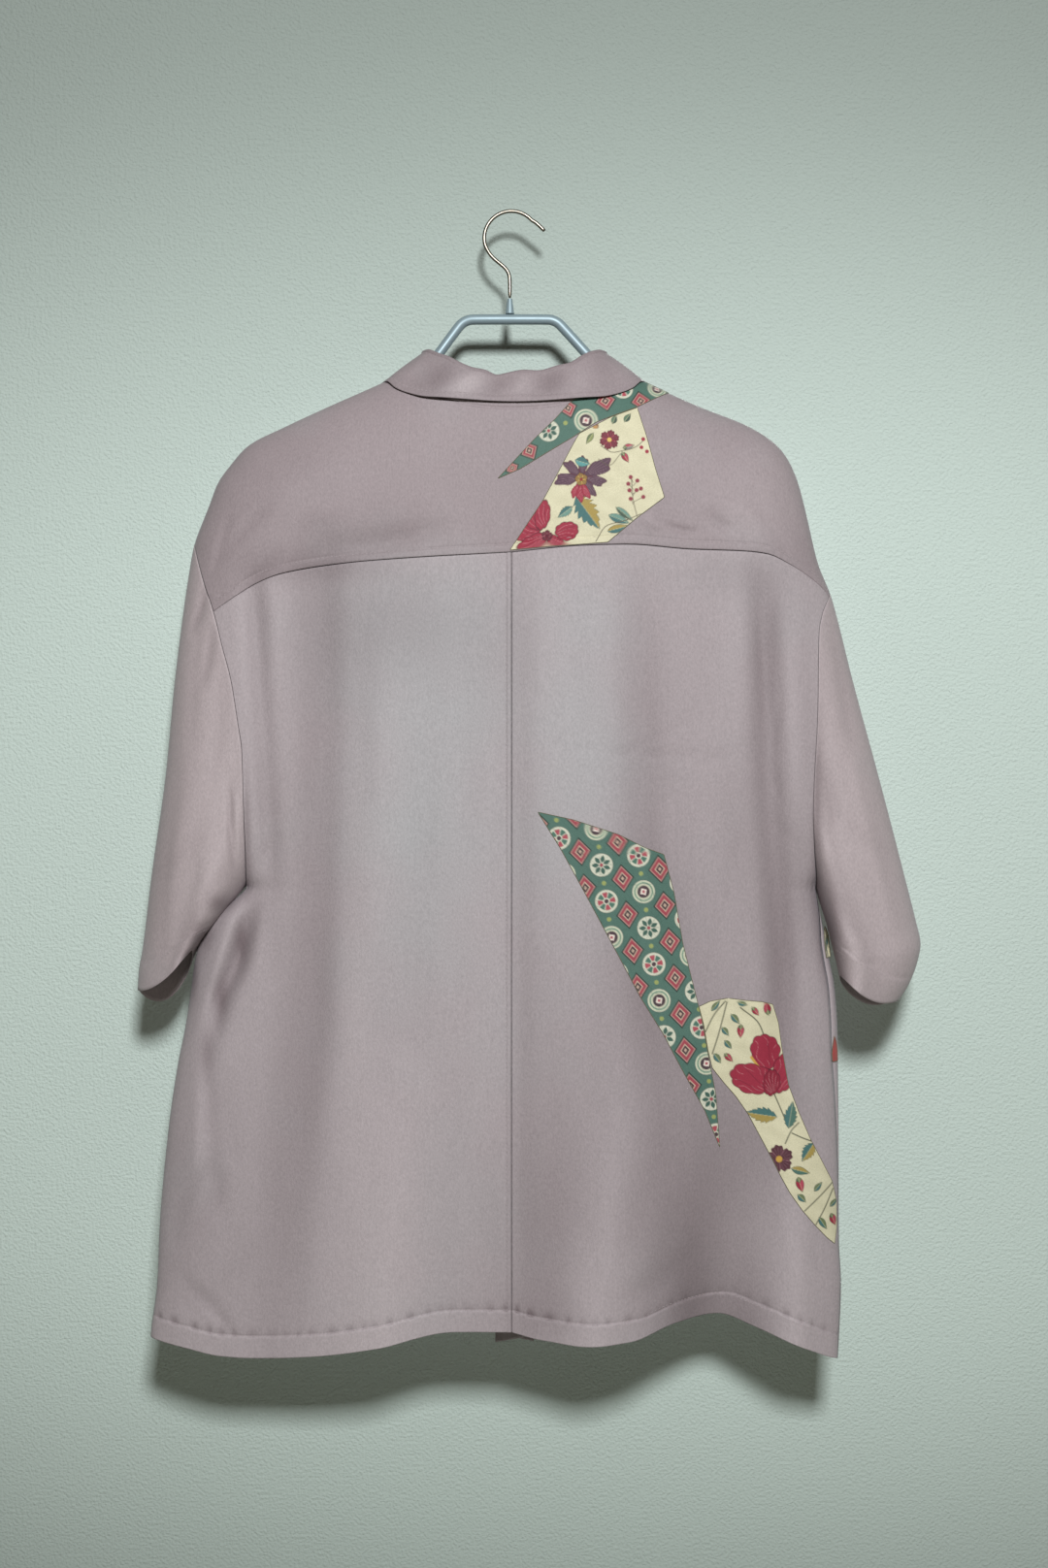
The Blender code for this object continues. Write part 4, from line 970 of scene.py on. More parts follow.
def collar():
    """Up from the neck seam, over the roll and down to the rim; wavy where it is slack."""
    mirrored = tuple(row._replace(t=-row.t, seam_x=-row.seam_x, fold_x=-row.fold_x,
                                  rim_x=-row.rim_x) for row in COLLAR[1:])

    def place(u, v):
        t = (u - 0.5) * 2
        seam, fold, rim = (np.stack([read(mirrored + COLLAR, "t", line + axis, t)
                                     for axis in ("_x", "_y", "_z")], axis=-1)
                           for line in ("seam", "fold", "rim"))
        behind = np.clip((fold[:, 1] - 2) / -14, 0, 1)
        wave = 2.2 * np.exp(-((fold[:, 0] - 5) / 14) ** 2) - 2.5 * np.exp(
            -((fold[:, 0] + 14) / 6) ** 2) + 0.5 * np.sin(fold[:, 0] / 4.1)
        fold[:, 2] += behind * wave
        fall = rim - fold
        away = fall - fall[:, 2:] * np.array([0, 0, 1])
        away /= np.linalg.norm(away, axis=1, keepdims=True) + 1e-9
        lift = np.array([0, 0, FOLD_HALF])
        inner = fold - FOLD_HALF * away - lift
        outer = fold + FOLD_HALF * away - lift
        v = v[:, None]
        first, last = ROLL_SPAN
        roll = np.clip((v - first) / (last - first), 0, 1) * math.pi
        stand = np.clip(v / first, 0, 1)
        drop = np.clip((v - last) / (1 - last), 0, 1)
        arc = fold - lift - FOLD_HALF * away * np.cos(roll) + lift * np.sin(roll)
        from_edge = (1 - drop) * np.linalg.norm(fall, axis=1, keepdims=True)
        x = fold[:, :1]
        dent = 0.6 * np.sin(x / 8.5 + 1.2 + drop) * np.sin(x / 21.0) + 0.3 * np.sin(x / 5.3 + drop * 2)
        dent = dent * np.sin(math.pi * np.clip(drop * 0.9 + 0.1, 0, 1))
        belly = FALL_BELLY * np.sin(math.pi * drop) + dent * (v > last)
        belly = belly + 0.7 * stitch_band(from_edge, EDGE_STITCH)
        falling = outer + drop * (rim - outer) + belly * away
        spots = np.where(v < first, seam + stand * (inner - seam), np.where(v > last, falling, arc))
        # Painted shade on the stand and roll and a little on the fall, with painted light where the
        # fall's dents bulge out and painted shade where they sink.
        shade = np.where(v > last, -0.6 * dent, 0.25)[:, 0]
        return spots, shade + 0.12, 0 * t

    silk = silk_crepe("silk crepe, collar", COLLAR_COLOUR)
    piece = add_cloth("collar", marks(181), marks(36, (0.33, 0.62, 18), (0.9, 1, 10)), place,
                      silk, (0, -1, 0), "collar", (0.5, 0.85))
    stitch("collar", [in_from(place, "low", EDGE_STITCH, np.linspace(0.02, 0.98, 260), 0.3)])


collar()


# The sleeves: short and wide, set on low and square, so each hangs as a flattened tube from
# its armhole.  The cuff is turned up 22 mm and stitched.
SLEEVE_LENGTHS = (350.0, 50.0)    # along the outer fold and the underarm
SLEEVE_SWELL = 3.0                # fullness low down between the ends
CUFF_DEEP = 22.0
SLEEVE_LEAN = 15.0        # how far its underside stands out behind the body's side
SLEEVE_PHASE = {"back": 3.7, "front": 5.1}
SLEEVE_COLOUR, SLEEVE_TWILL = "#b0a4a6", 0.8
SLEEVE_CREASES = {
    (-1, "back"): rows_of(
        Crease, (-216, -440, -213, -512, 1, 2.4, 1.8), (-211, -450, -208, -508, .5, 2, -1.0),
        (-249, -330, -234, -284, 2, 3.5, 2.6), (-240, -372, -230, -322, 2, 4, 2.2),
        (-236, -300, -246, -420, 3, 5, 0.9), (-222, -330, -236, -500, -4, 6, 0.8),
        (-214, -400, -240, -560, 6, 6, -1.0), (-256, -430, -270, -590, 3, 5, 0.9),
        (-212, -500, -262, -585, 5, 5, 1.0), (-230, -470, -284, -520, -3, 7, 0.7)),
    (1, "back"): rows_of(
        Crease, (232, -420, 246, -480, -3, 5, 1.4), (236, -500, 262, -560, 4, 6, 1.4),
        (240, -310, 258, -430, -3, 5, 0.9), (234, -380, 250, -520, 4, 6, 1.0),
        (250, -400, 286, -560, -5, 7, -1.0), (262, -420, 300, -560, 3, 5, 0.8),
        (238, -500, 280, -600, -4, 6, 1.0), (240, -460, 296, -500, 3, 7, 0.6)),
    (-1, "front"): rows_of(
        Crease, (-238, -310, -250, -450, -3, 6, 0.9), (-216, -420, -250, -580, 5, 7, 0.9),
        (-252, -400, -276, -560, -4, 6, -0.9), (-214, -500, -270, -570, 4, 6, 0.9)),
    (1, "front"): rows_of(
        Crease, (242, -320, 262, -450, 4, 6, 0.9), (238, -420, 262, -580, -5, 7, 0.9),
        (258, -410, 296, -560, 4, 6, -0.9), (236, -500, 290, -580, -4, 6, 0.9))}


def sleeve(side, name):
    """A tube: u runs round it from the outer fold, v from the armhole to the cuff."""
    top = max(point.z for point in side.edge)
    ends = [point for point in side.outline if point.z <= top]

    def place(u, v):
        turn = u * 2 * math.pi
        q = (1 - np.cos(turn)) / 2
        arm_z = top + q * (side.armpit - top)
        arm_out = edge_out(side, arm_z)
        cuff_out, cuff_z = side.cuff_in
        length = SLEEVE_LENGTHS[0] + q * (SLEEVE_LENGTHS[1] - SLEEVE_LENGTHS[0])
        t = np.clip(v + (1 - v) * ARMHOLE_GAP / length, 0, 1)
        fold_out, fold_z = run_along(ends, t)
        under_out = edge_out(side, side.armpit) + t * (cuff_out - edge_out(side, side.armpit))
        under_z = side.armpit + t * (cuff_z - side.armpit)
        start_out = edge_out(side, top) + q * (edge_out(side, side.armpit) - edge_out(side, top))
        out = fold_out + q * (under_out - fold_out) + (arm_out - start_out) * (1 - t) ** 2
        z = fold_z + q * (under_z - fold_z)
        front = turn > math.pi
        hang = np.where(front, side.cuff_hang.front, side.cuff_hang.back)
        full = np.where(front, read(DEPTHS, "z", "front", z), read(DEPTHS, "z", "back", z))
        swell = SLEEVE_SWELL * np.sin(math.pi * t)
        swell *= np.sin(2 * math.pi * q) * np.sin(math.pi * q)
        form = rounding(side, out, z) * arm_hold(q) * (q > 1e-9)
        out = out + ARMHOLE_GAP * 0.8 * (1 - t) ** 4
        z = z - hang * t ** 2 * np.sin(math.pi * q) ** 0.7
        x = side.sign * out
        small = np.where(front, creases(SLEEVE_CREASES[side.sign, "front"], x, z),
                         creases(SLEEVE_CREASES[side.sign, "back"], x, z))
        phase = np.where(front, SLEEVE_PHASE["front"], SLEEVE_PHASE["back"])
        small = small + waver(x, z, phase) * 0.9
        past_seam, to_cuff = t * length, (1 - t) * length
        rise = stitch_band(to_cuff, CUFF_DEEP) + 0.5 * puckers(z, to_cuff, CUFF_DEEP)
        rise = rise - 0.5 * np.exp(-(past_seam / 1.6) ** 2) - small
        deep = full * form + (swell + rise) * np.minimum(1, form * 1.8) * (q > 1e-9)
        y = np.where(front, deep, -deep) - SLEEVE_LEAN * q ** 3 * ease(t / 0.5)
        # Painted shade: its creases are painted darker, twice as strongly as on the body, with a
        # slight darkening all over, and the back's shade spots reach its underside by the armpits.
        return (points(side, out, y, z), tone(small * 2 + 0.8, "back", x, z),
                cool("back", x, z) * 0.4)

    u, v = marks(120), marks(90, (0, 0.03, 8), (0.7, 1, 34))
    silk = silk_crepe("silk crepe, " + name.replace("_", " "), SLEEVE_COLOUR,
                      side.sign * SLEEVE_TWILL)
    piece = add_cloth(name, u, v, place, silk, (0, -1, 0), name, (0.2, 0.5), weld=0.01)
    for first, last in ((0.03, 0.47), (0.53, 0.97)):
        line = in_from(place, "low", CUFF_DEEP, np.linspace(first, last, 90), 0.6)
        stitch(name + ("_back" if first < 0.5 else "_front"), [line])


sleeve(LEFT, "sleeve_left")
sleeve(RIGHT, "sleeve_right")


# The patches: pointed pieces of green figured silk and of a cream flowered one, with a cream
# and a red corner round the side seam.  They are cut from old kimono cloth, laid flat and
# edged with a fine olive cord.  Their figures are printed, so nothing of them is raised.
PATCH_CELL = 0.62         # spacing of the painted points
PATCH_LIFT = 0.28         # of the outside over the silk
CORD_STEP = 1.1
CORD_RADIUS = 0.28
GREEN, CREAM, OLIVE = "#527267", "#d8d3b4", "#6f6a4c"


def back_spot(x, z, lift):
    """Place on the outside of the yoke or back, this far off the cloth."""
    def depth(x, z):
        y = np.zeros_like(x)
        for side, here in ((LEFT, x < -2), (RIGHT, x >= -2)):
            out = np.where(here, side.sign * x, side.middle)
            share = (out - side.middle) / (edge_out(side, z) - side.middle)
            on_yoke = z > read(side.seam, "share", "z", share)
            face = np.where(on_yoke, yoke_face(side, out, z)[0], back_face(side, out, z)[0])
            y = np.where(here, face, y)
        return y
    y = depth(x, z)
    way = np.stack([(depth(x + 0.4, z) - depth(x - 0.4, z)) / 0.8, -np.ones_like(x),
                    (depth(x, z + 0.1) - depth(x, z - 0.1)) / 0.2], axis=1)
    way /= np.linalg.norm(way, axis=1, keepdims=True)
    return np.stack([x, y, z], axis=1) + lift * way


def lay(paint, colour, share):
    """Print a colour over the painted points, as much as share says at each of them."""
    paint += (np.array(linear(colour)) - paint) * np.clip(share, 0, 1)[:, None]


def soft(gap, edge=0.5):
    """Share of ink by the distance outside a figure's edge, softened as on silk."""
    return np.clip(0.5 - gap / edge, 0, 1)


def turned(x, z, centre, angle):
    """Places as seen from a figure's centre, turned with it."""
    across, up = x - centre[0], z - centre[1]
    return (across * math.cos(angle) + up * math.sin(angle),
            up * math.cos(angle) - across * math.sin(angle))


def roundel(paint, x, z, centre, radius, kind):
    """Round figure of the green cloth: rings, a leafy sprig or a wheel of petals."""
    far, turn = np.hypot(x - centre[0], z - centre[1]), np.arctan2(z - centre[1], x - centre[0])
    lay(paint, "#24342f", 0.55 * soft(far - radius - 0.7))
    if kind == 0:
        for share, colour in ((1.0, "#c3c9ae"), (0.86, "#6f8f7d"), (0.74, "#c6c8b0"),
                              (0.56, "#4b3a40")):
            lay(paint, colour, soft(far - radius * share))
        a, b = turned(x, z, centre, 0.6)
        lay(paint, "#e6d9cd", soft(abs(a) + abs(b) - radius * 0.36))
        lay(paint, "#a85560", soft(abs(a) + abs(b) - radius * 0.17))
    elif kind == 1:
        lay(paint, "#cfd0bd", soft(far - radius))
        for step in range(7):
            angle = 0.5 + step * math.tau / 7
            a, b = turned(x, z, centre, angle)
            lay(paint, "#3f5f54", soft(abs(b) - 0.19 * radius * np.sin(
                math.pi * np.clip((a / radius - 0.2) / 0.7, 0, 1))))
        lay(paint, "#9d4550", soft(far - radius * 0.16))
    else:
        lay(paint, "#cfd0bd", soft(far - radius))
        wave = np.sin(4 * turn + 0.7)
        ring = soft(abs(far - radius * 0.56) - radius * 0.25)
        lay(paint, "#a94d58", ring * soft(0.25 - wave, 0.4))
        lay(paint, "#4d7263", ring * soft(0.25 + wave, 0.4))
        lay(paint, "#4b3a40", soft(far - radius * 0.2))
    lay(paint, "#d6d6c2", 0.7 * soft(abs(far - radius) - 0.35))


def diamond(paint, x, z, centre, half, turn=0.0):
    """Stepped diamond of the green cloth."""
    a, b = turned(x, z, centre, turn)
    far = (abs(a) / half[0] + abs(b) / half[1] - 1) * min(half) * 0.75
    for inside, colour in ((-0.9, "#24342f"), (0.0, "#b98f86"), (0.7, "#9e4450"),
                           (min(half) * 0.36, "#cdb59f"), (min(half) * 0.45, "#453138"),
                           (min(half) * 0.62, "#c4aa97")):
        lay(paint, colour, soft(far + inside))


def green_upper(paint, x, z):
    """Roundels and diamonds in turn along the narrow piece."""
    diamond(paint, x, z, (11.5, -189.7), (6.4, 7.3), 0.5)
    diamond(paint, x, z, (-1.5, -203.0), (4.6, 5.2), 0.5)
    roundel(paint, x, z, (26.2, -174.6), 7.8, 1)
    lay(paint, "#98a262", soft(np.hypot(x - 39, z + 168.6) - 1.7))
    roundel(paint, x, z, (54.6, -166.5), 8.6, 0)
    diamond(paint, x, z, (41.0, -157.0), (6.2, 7.2), 0.3)
    diamond(paint, x, z, (69.5, -150.8), (7.4, 7.6), 0.2)
    roundel(paint, x, z, (83.0, -140.5), 7.6, 2)
    diamond(paint, x, z, (96.8, -150.0), (7.0, 7.4), 0.2)
    roundel(paint, x, z, (110.0, -138.5), 7.0, 0)
    diamond(paint, x, z, (62.0, -133.0), (6.6, 7.2), 0.2)


def green_lower(paint, x, z):
    """Columns of roundels and of diamonds by turns, leaning a little."""
    across, down, start = np.array([16.1, -10.2]), np.array([3.9, -27.5]), (98.4, -524.9)
    for column in range(-7, 7):
        for row in range(-6, 10):
            centre = start + column * across + row * down
            if np.hypot(x - centre[0], z - centre[1]).min() > 14:
                continue
            if column % 2:
                diamond(paint, x, z, centre, (7.6, 9.6), 0.12)
            else:
                roundel(paint, x, z, centre, 8.4, (row + column) % 3)
                spot = centre + down / 2
                lay(paint, "#98a262", soft(np.hypot(x - spot[0], z - spot[1]) - 1.7))


def leaf(paint, x, z, base, tip, wide, colour, other, teeth=0.0):
    """Leaf from base to tip with two-coloured halves and a light midrib."""
    way = np.subtract(tip, base)
    length = math.hypot(*way)
    a, b = turned(x, z, base, math.atan2(way[1], way[0]))
    along = np.clip(a / length, 0, 1)
    rim = wide * np.sin(math.pi * along ** 0.8) * (1 + teeth * (along * 6 % 1 - 0.5))
    gap = np.maximum(abs(b) - rim, abs(a - length / 2) - length / 2)
    inside = soft(gap)
    lay(paint, "#3e4a3c", soft(gap - 0.35))
    lay(paint, colour, inside)
    lay(paint, other, inside * soft(-b + 0.2 * np.sin(a * 2.2)))
    lay(paint, "#d8d3a6", 0.7 * inside * soft(abs(b) - 0.12))


def stem(paint, x, z, places, wide=0.6, colour="#5f5646"):
    """Thin curved stem through some places."""
    t = np.linspace(0, 1, 14)
    line = np.stack(run_along(places, t), axis=1)
    lay(paint, colour, soft(gap_to(line, x, z) - wide / 2))


def petals(paint, x, z, centre, radius, count, turn, colour, pale, heart):
    """Open flower: petals with darker edges and pale veins round a heart."""
    far = np.hypot(x - centre[0], z - centre[1])
    angle = np.arctan2(z - centre[1], x - centre[0]) - turn
    rim = radius * (1 - 0.28 * (1 - abs(np.cos(count * angle / 2)) ** 0.6))
    rim = rim * (1 + 0.05 * np.sin(count * 3 * angle + 1))
    lay(paint, "#43242c", soft(far - rim - 0.4))
    lay(paint, colour, soft(far - rim))
    vein = soft(np.sin(count * 4 * angle) + 0.55, 0.6) * soft(abs(far - rim * 0.62) - rim * 0.26)
    lay(paint, pale, 0.55 * vein)
    lay(paint, "#43242c", 0.6 * soft(0.22 - abs(np.cos(count * angle / 2)), 0.3)
        * soft(far - rim))
    lay(paint, heart, soft(far - radius * 0.24))


def fan(paint, x, z, root, tip, spread, colour, pale):
    """Fan of one large ragged petal, opening from its root."""
    way = np.subtract(tip, root)
    length = math.hypot(*way)
    a, b = turned(x, z, root, math.atan2(way[1], way[0]))
    far, angle = np.hypot(a, b), np.arctan2(b, a)
    rim = length * (1 - 0.5 * (angle / spread) ** 2 + 0.07 * np.sin(angle * 17))
    gap = np.maximum(far - rim, (abs(angle) - spread) * far)
    lay(paint, "#5c1f2b", soft(gap - 0.4))
    lay(paint, colour, soft(gap))
    vein = soft(abs((angle / spread * 3.5) % 1 - 0.5) * far * spread / 3.5 - 0.12, 0.4)
    lay(paint, pale, 0.6 * vein * soft(gap + 1.2) * soft(length * 0.25 - far))


def lobe(paint, x, z, root, centre, radii, turn, colour, pale):
    """Scalloped lobe of a large flower, with pale veins that run out from the root."""
    a, b = turned(x, z, centre, turn)
    angle = np.arctan2(b / radii[1], a / radii[0])
    rim = 1 + 0.10 * abs(np.sin(4.5 * angle)) + 0.03 * np.sin(3 * angle)
    gap = (np.hypot(a / radii[0], b / radii[1]) - rim) * min(radii)
    lay(paint, "#4f1a27", soft(gap - 0.45))
    lay(paint, colour, soft(gap))
    ray = np.arctan2(z - root[1], x - root[0])
    far = np.hypot(x - root[0], z - root[1])
    vein = soft(abs((ray * 5.5 + 0.3 * np.sin(far / 3.0)) % 1 - 0.5) * far / 5.5 - 0.16, 0.4)
    lay(paint, pale, 0.75 * vein * soft(abs(gap + 3.4) - 2.2))
    groove = soft(abs((ray * 3.0 + 0.5) % 1 - 0.5) * far / 3.0 - 0.2, 0.4)
    lay(paint, "#5c1a2b", 0.6 * groove * soft(gap + 1.0))


def bud(paint, x, z, base, tip, colour):
    """Bud in a green cup."""
    leaf(paint, x, z, base, tip, 0.25 * math.dist(base, tip), colour, "#b0495a")
    near = tuple(np.array(base) + 0.35 * (np.array(tip) - base))
    leaf(paint, x, z, base, near, 0.16 * math.dist(base, tip), "#5d6a4d", "#7d8660")


RED, ROSE, PURPLE, TEAL, OCHRE = "#9a2d41", "#cf8a90", "#5b4250", "#47706f", "#a5904f"


def cream_upper(paint, x, z):
    """A big red flower low down, a purple one over it, leaves, buds and a sprig of berries."""
    root = (25.0, -254.5)
    lobes = (((9.5, -252.5), (9.5, 6.0), 0.1), ((14.0, -260.5), (12.0, 5.5), 0.5),
             ((33.0, -261.5), (8.5, 5.0), -0.7), ((40.0, -251.0), (8.0, 6.5), 0.2),
             ((13.5, -241.5), (9.0, 5.5), -0.9), ((21.5, -238.5), (10.5, 5.2), 1.45))
    for centre, radii, turn in lobes:
        lobe(paint, x, z, root, centre, radii, turn, RED, ROSE)
    petals(paint, x, z, root, 4.0, 5, 0.2, "#7d2335", ROSE, "#5c1a2b")
    leaf(paint, x, z, (47.0, -224.5), (64.8, -249.0), 7.2, TEAL, OCHRE, 0.5)
    leaf(paint, x, z, (44.0, -232.5), (33.5, -240.5), 3.0, TEAL, "#6f9488", 0.3)
    for tip, spread in (((31.5, -213.0), 0.42), ((38.8, -198.6), 0.42), ((53.0, -194.5), 0.42),
                        ((69.0, -214.0), 0.40), ((73.0, -198.0), 0.42), ((60.5, -224.0), 0.40)):
        fan(paint, x, z, (51.5, -209.5), tip, spread, PURPLE, "#9a7f86")
    for tip in ((44.0, -224.8), (50.0, -228.4), (56.5, -225.8)):
        fan(paint, x, z, (51.0, -212.5), tip, 0.33, RED, ROSE)
    leaf(paint, x, z, (46.5, -197.0), (57.5, -200.0), 3.4, "#5f9a98", TEAL)
    petals(paint, x, z, (51.0, -211.5), 4.6, 5, 0.5, "#c9a24a", "#e2cf8b", "#8e2836")
    petals(paint, x, z, (72.4, -181.3), 7.2, 6, 0.3, RED, ROSE, "#d8b866")
    leaf(paint, x, z, (60.0, -176.4), (55.0, -184.2), 1.9, "#6d7a55", "#8a9260")
    leaf(paint, x, z, (64.0, -172.0), (58.6, -168.4), 2.1, "#8b5b3c", "#b98a54")
    leaf(paint, x, z, (75.0, -168.6), (77.5, -162.2), 2.0, "#45594c", "#5f7a62")
    leaf(paint, x, z, (84.0, -167.0), (88.5, -160.8), 2.0, "#45594c", "#5f7a62")
    bud(paint, x, z, (83.0, -187.6), (91.0, -185.4), "#8a8580")
    bud(paint, x, z, (82.0, -191.0), (86.8, -198.4), RED)
    stem(paint, x, z, ((66, -186), (75, -191), (83.4, -189.5), (92, -187), (99, -181)))
    stem(paint, x, z, ((64, -196), (72, -201), (81, -192)), 0.5)
    for spot in ((98.2, -180.6), (96.8, -187.0), (101.0, -190.2)):
        lay(paint, RED, soft(np.hypot(x - spot[0], z - spot[1]) - 1.5))
    stem(paint, x, z, ((93.5, -240.2), (90.2, -226.0), (89.0, -210.0)), 0.6)
    for spot in ((88.5, -209.9), (93.6, -212.6), (86.7, -215.0), (96.3, -218.6), (87.6, -220.0),
                 (98.1, -225.0), (88.5, -226.4), (93.0, -219.8)):
        stem(paint, x, z, (spot, (90.4, spot[1] - 4.0)), 0.4)
        lay(paint, "#8d3c48", soft(np.hypot(x - spot[0], z - spot[1]) - 1.6))
    leaf(paint, x, z, (72.0, -238.8), (87.4, -245.0), 3.0, TEAL, "#6f9488")
    leaf(paint, x, z, (77.5, -232.8), (90.0, -243.0), 2.2, "#45594c", "#6f9488")
    leaf(paint, x, z, (71.0, -251.0), (86.4, -247.0), 2.8, TEAL, OCHRE)
    stem(paint, x, z, ((62, -259), (70, -247), (84, -243), (96, -238)), 0.6)


def cream_ribbon(paint, x, z):
    """A big red flower near the top, a small purple one below, twigs, buds and leaves."""
    for places in (((160.4, -608), (152, -618), (145.3, -631)),
                   ((161.7, -608.6), (155, -634), (150.5, -648.1)),
                   ((197.4, -677.2), (204, -692), (209.8, -706.0)),
                   ((207.2, -717.9), (212, -708), (217.7, -702.1)),
                   ((212.4, -710), (221, -714), (227.6, -716.6)),
                   ((222.3, -769.9), (234, -760), (245.3, -749.5)),
                   ((231.5, -781.1), (238, -770), (245.3, -754.8)),
                   ((172, -613), (186, -625), (192, -640))):
        stem(paint, x, z, places, 0.9, "#545645")
    for base, tip, wide in (((150, -615), (156, -607.8), 1.8), ((170, -609), (177, -611), 1.8),
                            ((165, -618), (171, -625), 2.2), ((160, -638), (165, -644), 2.0),
                            ((158, -628), (163, -634), 2.0), ((152, -648), (157, -655), 2.2),
                            ((217, -757), (223, -763), 2.2), ((230, -755), (236, -749), 2.0),
                            ((234, -776), (240, -785), 2.2), ((243, -768), (249, -763), 1.8)):
        leaf(paint, x, z, base, tip, wide, TEAL, "#6d7a55")
    for base, tip in (((172.3, -626), (172.0, -636)), ((160.0, -648), (166, -654)),
                      ((194.0, -619), (191.5, -608.5)), ((217.0, -744), (220.5, -755)),
                      ((243.6, -774), (247.5, -783)), ((181, -613), (186.0, -619.0))):
        bud(paint, x, z, base, tip, RED)
    root = (197.5, -682.0)
    lobe(paint, x, z, root, (191.5, -647.0), (12.5, 10.5), 1.9, RED, ROSE)
    for tip in ((180.5, -651.0), (184.5, -657.5)):
        stem(paint, x, z, ((190.0, -664.0), tip), 1.9, "#c9a04e")
    lobe(paint, x, z, root, (205.5, -664.5), (13.5, 8.5), 1.35, RED, ROSE)
    lobe(paint, x, z, root, (181.5, -667.5), (16.0, 10.5), -0.25, RED, ROSE)
    lobe(paint, x, z, root, (196.5, -671.0), (9.0, 6.0), 1.5, "#8c2639", ROSE)
    leaf(paint, x, z, (200.6, -697.5), (176.9, -693.5), 5.2, TEAL, OCHRE, 0.35)
    leaf(paint, x, z, (209.8, -706.0), (213.1, -686.3), 4.4, "#4d7065", TEAL, 0.35)
    leaf(paint, x, z, (229.5, -718.5), (220.3, -731.5), 4.6, TEAL, OCHRE, 0.35)
    petals(paint, x, z, (202.5, -729.7), 10.4, 5, 0.5, "#6a3f49", "#a9828a", "#c79d48")
    leaf(paint, x, z, (212, -737), (226, -741), 2.8, "#4d7065", OCHRE)


def patch(name, left, right, ground, figures):
    """A flat piece between a left and a right edge, both given from the top down."""
    left, right = np.array(left, dtype=float), np.array(right, dtype=float)
    top, low = left[0, 1], left[-1, 1]
    deep = top - low
    v = marks(int(deep / PATCH_CELL), (0, 1.5 / deep, 7), (1 - 1.5 / deep, 1, 7))
    z = top - v * deep
    first = np.interp(-z, -left[:, 1], left[:, 0])
    last = np.interp(-z, -right[:, 1], right[:, 0])
    widest = (last - first).max()
    u = marks(int(widest / PATCH_CELL), (0, 1.2 / widest, 4), (1 - 2.0 / widest, 1, 8))
    x = (first[:, None] + u * (last - first)[:, None]).ravel()
    z = np.repeat(z, len(u))
    paint = np.tile(np.array(linear(ground)), (len(x), 1))
    mottle = 0.5 + 0.25 * np.sin(x / 3.1 + 2 * np.sin(z / 4.7)) + 0.25 * np.sin(z / 2.3 + x / 5.9)
    lay(paint, "#8f8a68" if ground == CREAM else "#3c5a4f", 0.14 * mottle)
    figures(paint, x, z)
    wide = len(u)
    corner = (np.arange(len(v) - 1)[:, None] * wide + np.arange(wide - 1)).ravel()
    faces = np.stack([corner, corner + wide, corner + wide + 1, corner + 1], axis=1)
    mesh = bpy.data.meshes.new(name)
    mesh.from_pydata((back_spot(x, z, PATCH_LIFT) * MM).tolist(), [], faces.tolist())
    colours = mesh.attributes.new("paint", "FLOAT_COLOR", "POINT")
    colours.data.foreach_set("color", np.c_[paint, np.ones(len(x))].ravel().astype(np.float32))
    mesh.shade_smooth()
    mesh.materials.append(printed_silk)
    piece = bpy.data.objects.new(name, mesh)
    bpy.context.scene.collection.objects.link(piece)
    round_edge = np.concatenate([left, right[::-1]])
    run = np.concatenate([[0], np.cumsum(np.hypot(*np.diff(round_edge, axis=0).T))])
    at = np.arange(0, run[-1], CORD_STEP)
    line = back_spot(np.interp(at, run, round_edge[:, 0]), np.interp(at, run, round_edge[:, 1]),
                     PATCH_LIFT)
    cord = add_thread(name + "_edge", [line], CORD_RADIUS, olive_cord)
    for thing in (piece, cord):
        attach(thing, "root")


printed_silk, silk_shader = new_finish("printed kimono silk", Roughness=0.66,
                                       Specular_IOR_Level=0.3, Sheen_Weight=0.10,
                                       Sheen_Roughness=0.5)
ink = add_node(printed_silk, "Attribute", attribute_name="paint").outputs["Color"]
silk_place = add_node(printed_silk, "TexCoord").outputs["Object"]
weave = add_node(printed_silk, "TexNoise", {"Vector": silk_place, "Scale": 1300.0, "Detail": 2.0})
uneven = add_node(printed_silk, "MapRange", {"Value": weave.outputs["Fac"], "From Min": 0.3,
                                             "From Max": 0.7, "To Min": 0.88, "To Max": 1.06})
inked = add_node(printed_silk, "VectorMath", {0: ink, "Scale": uneven.outputs[0]},
                 operation="SCALE")
weave_bump = add_node(printed_silk, "Bump", {"Height": weave.outputs["Fac"], "Strength": 0.25,
                                             "Distance": 0.0003})
printed_silk.node_tree.links.new(inked.outputs[0], silk_shader.inputs["Base Color"])
printed_silk.node_tree.links.new(weave_bump.outputs[0], silk_shader.inputs["Normal"])
olive_cord = thread_finish("waxed olive cord", OLIVE)

shoulder = [(out, ridge(RIGHT, out) - 0.4) for out in (119.7, 110, 100, 90, 80.5)]
patch("patch_green_upper",
      [shoulder[-1], (78, -123.4), (60, -137.6), (42.2, -153.0), (31.2, -165.4),
       (15.6, -180.6), (3.7, -193.4), (-12.3, -210.8)],
      [*shoulder[::-1], (93.9, -155), (73.4, -163.1), (62.4, -167.7), (44.1, -179.6),
       (25.7, -190.6), (4.5, -203.5), (-12.3, -210.8)],
      GREEN, green_upper)
patch("patch_cream_upper",
      [(93.9, -155.6), (73.4, -163.7), (49.5, -176.6), (44.1, -186.1), (33.0, -207.1),
       (22.0, -227.4), (7.4, -249.3), (-3.2, -265.4)],
      [(93.9, -155.6), (100.9, -178.8), (107.4, -203.5), (114.2, -225.1), (91.7, -242),
       (71.1, -259.4), (30, -262.3), (-3.2, -265.4)],
      CREAM, cream_upper)
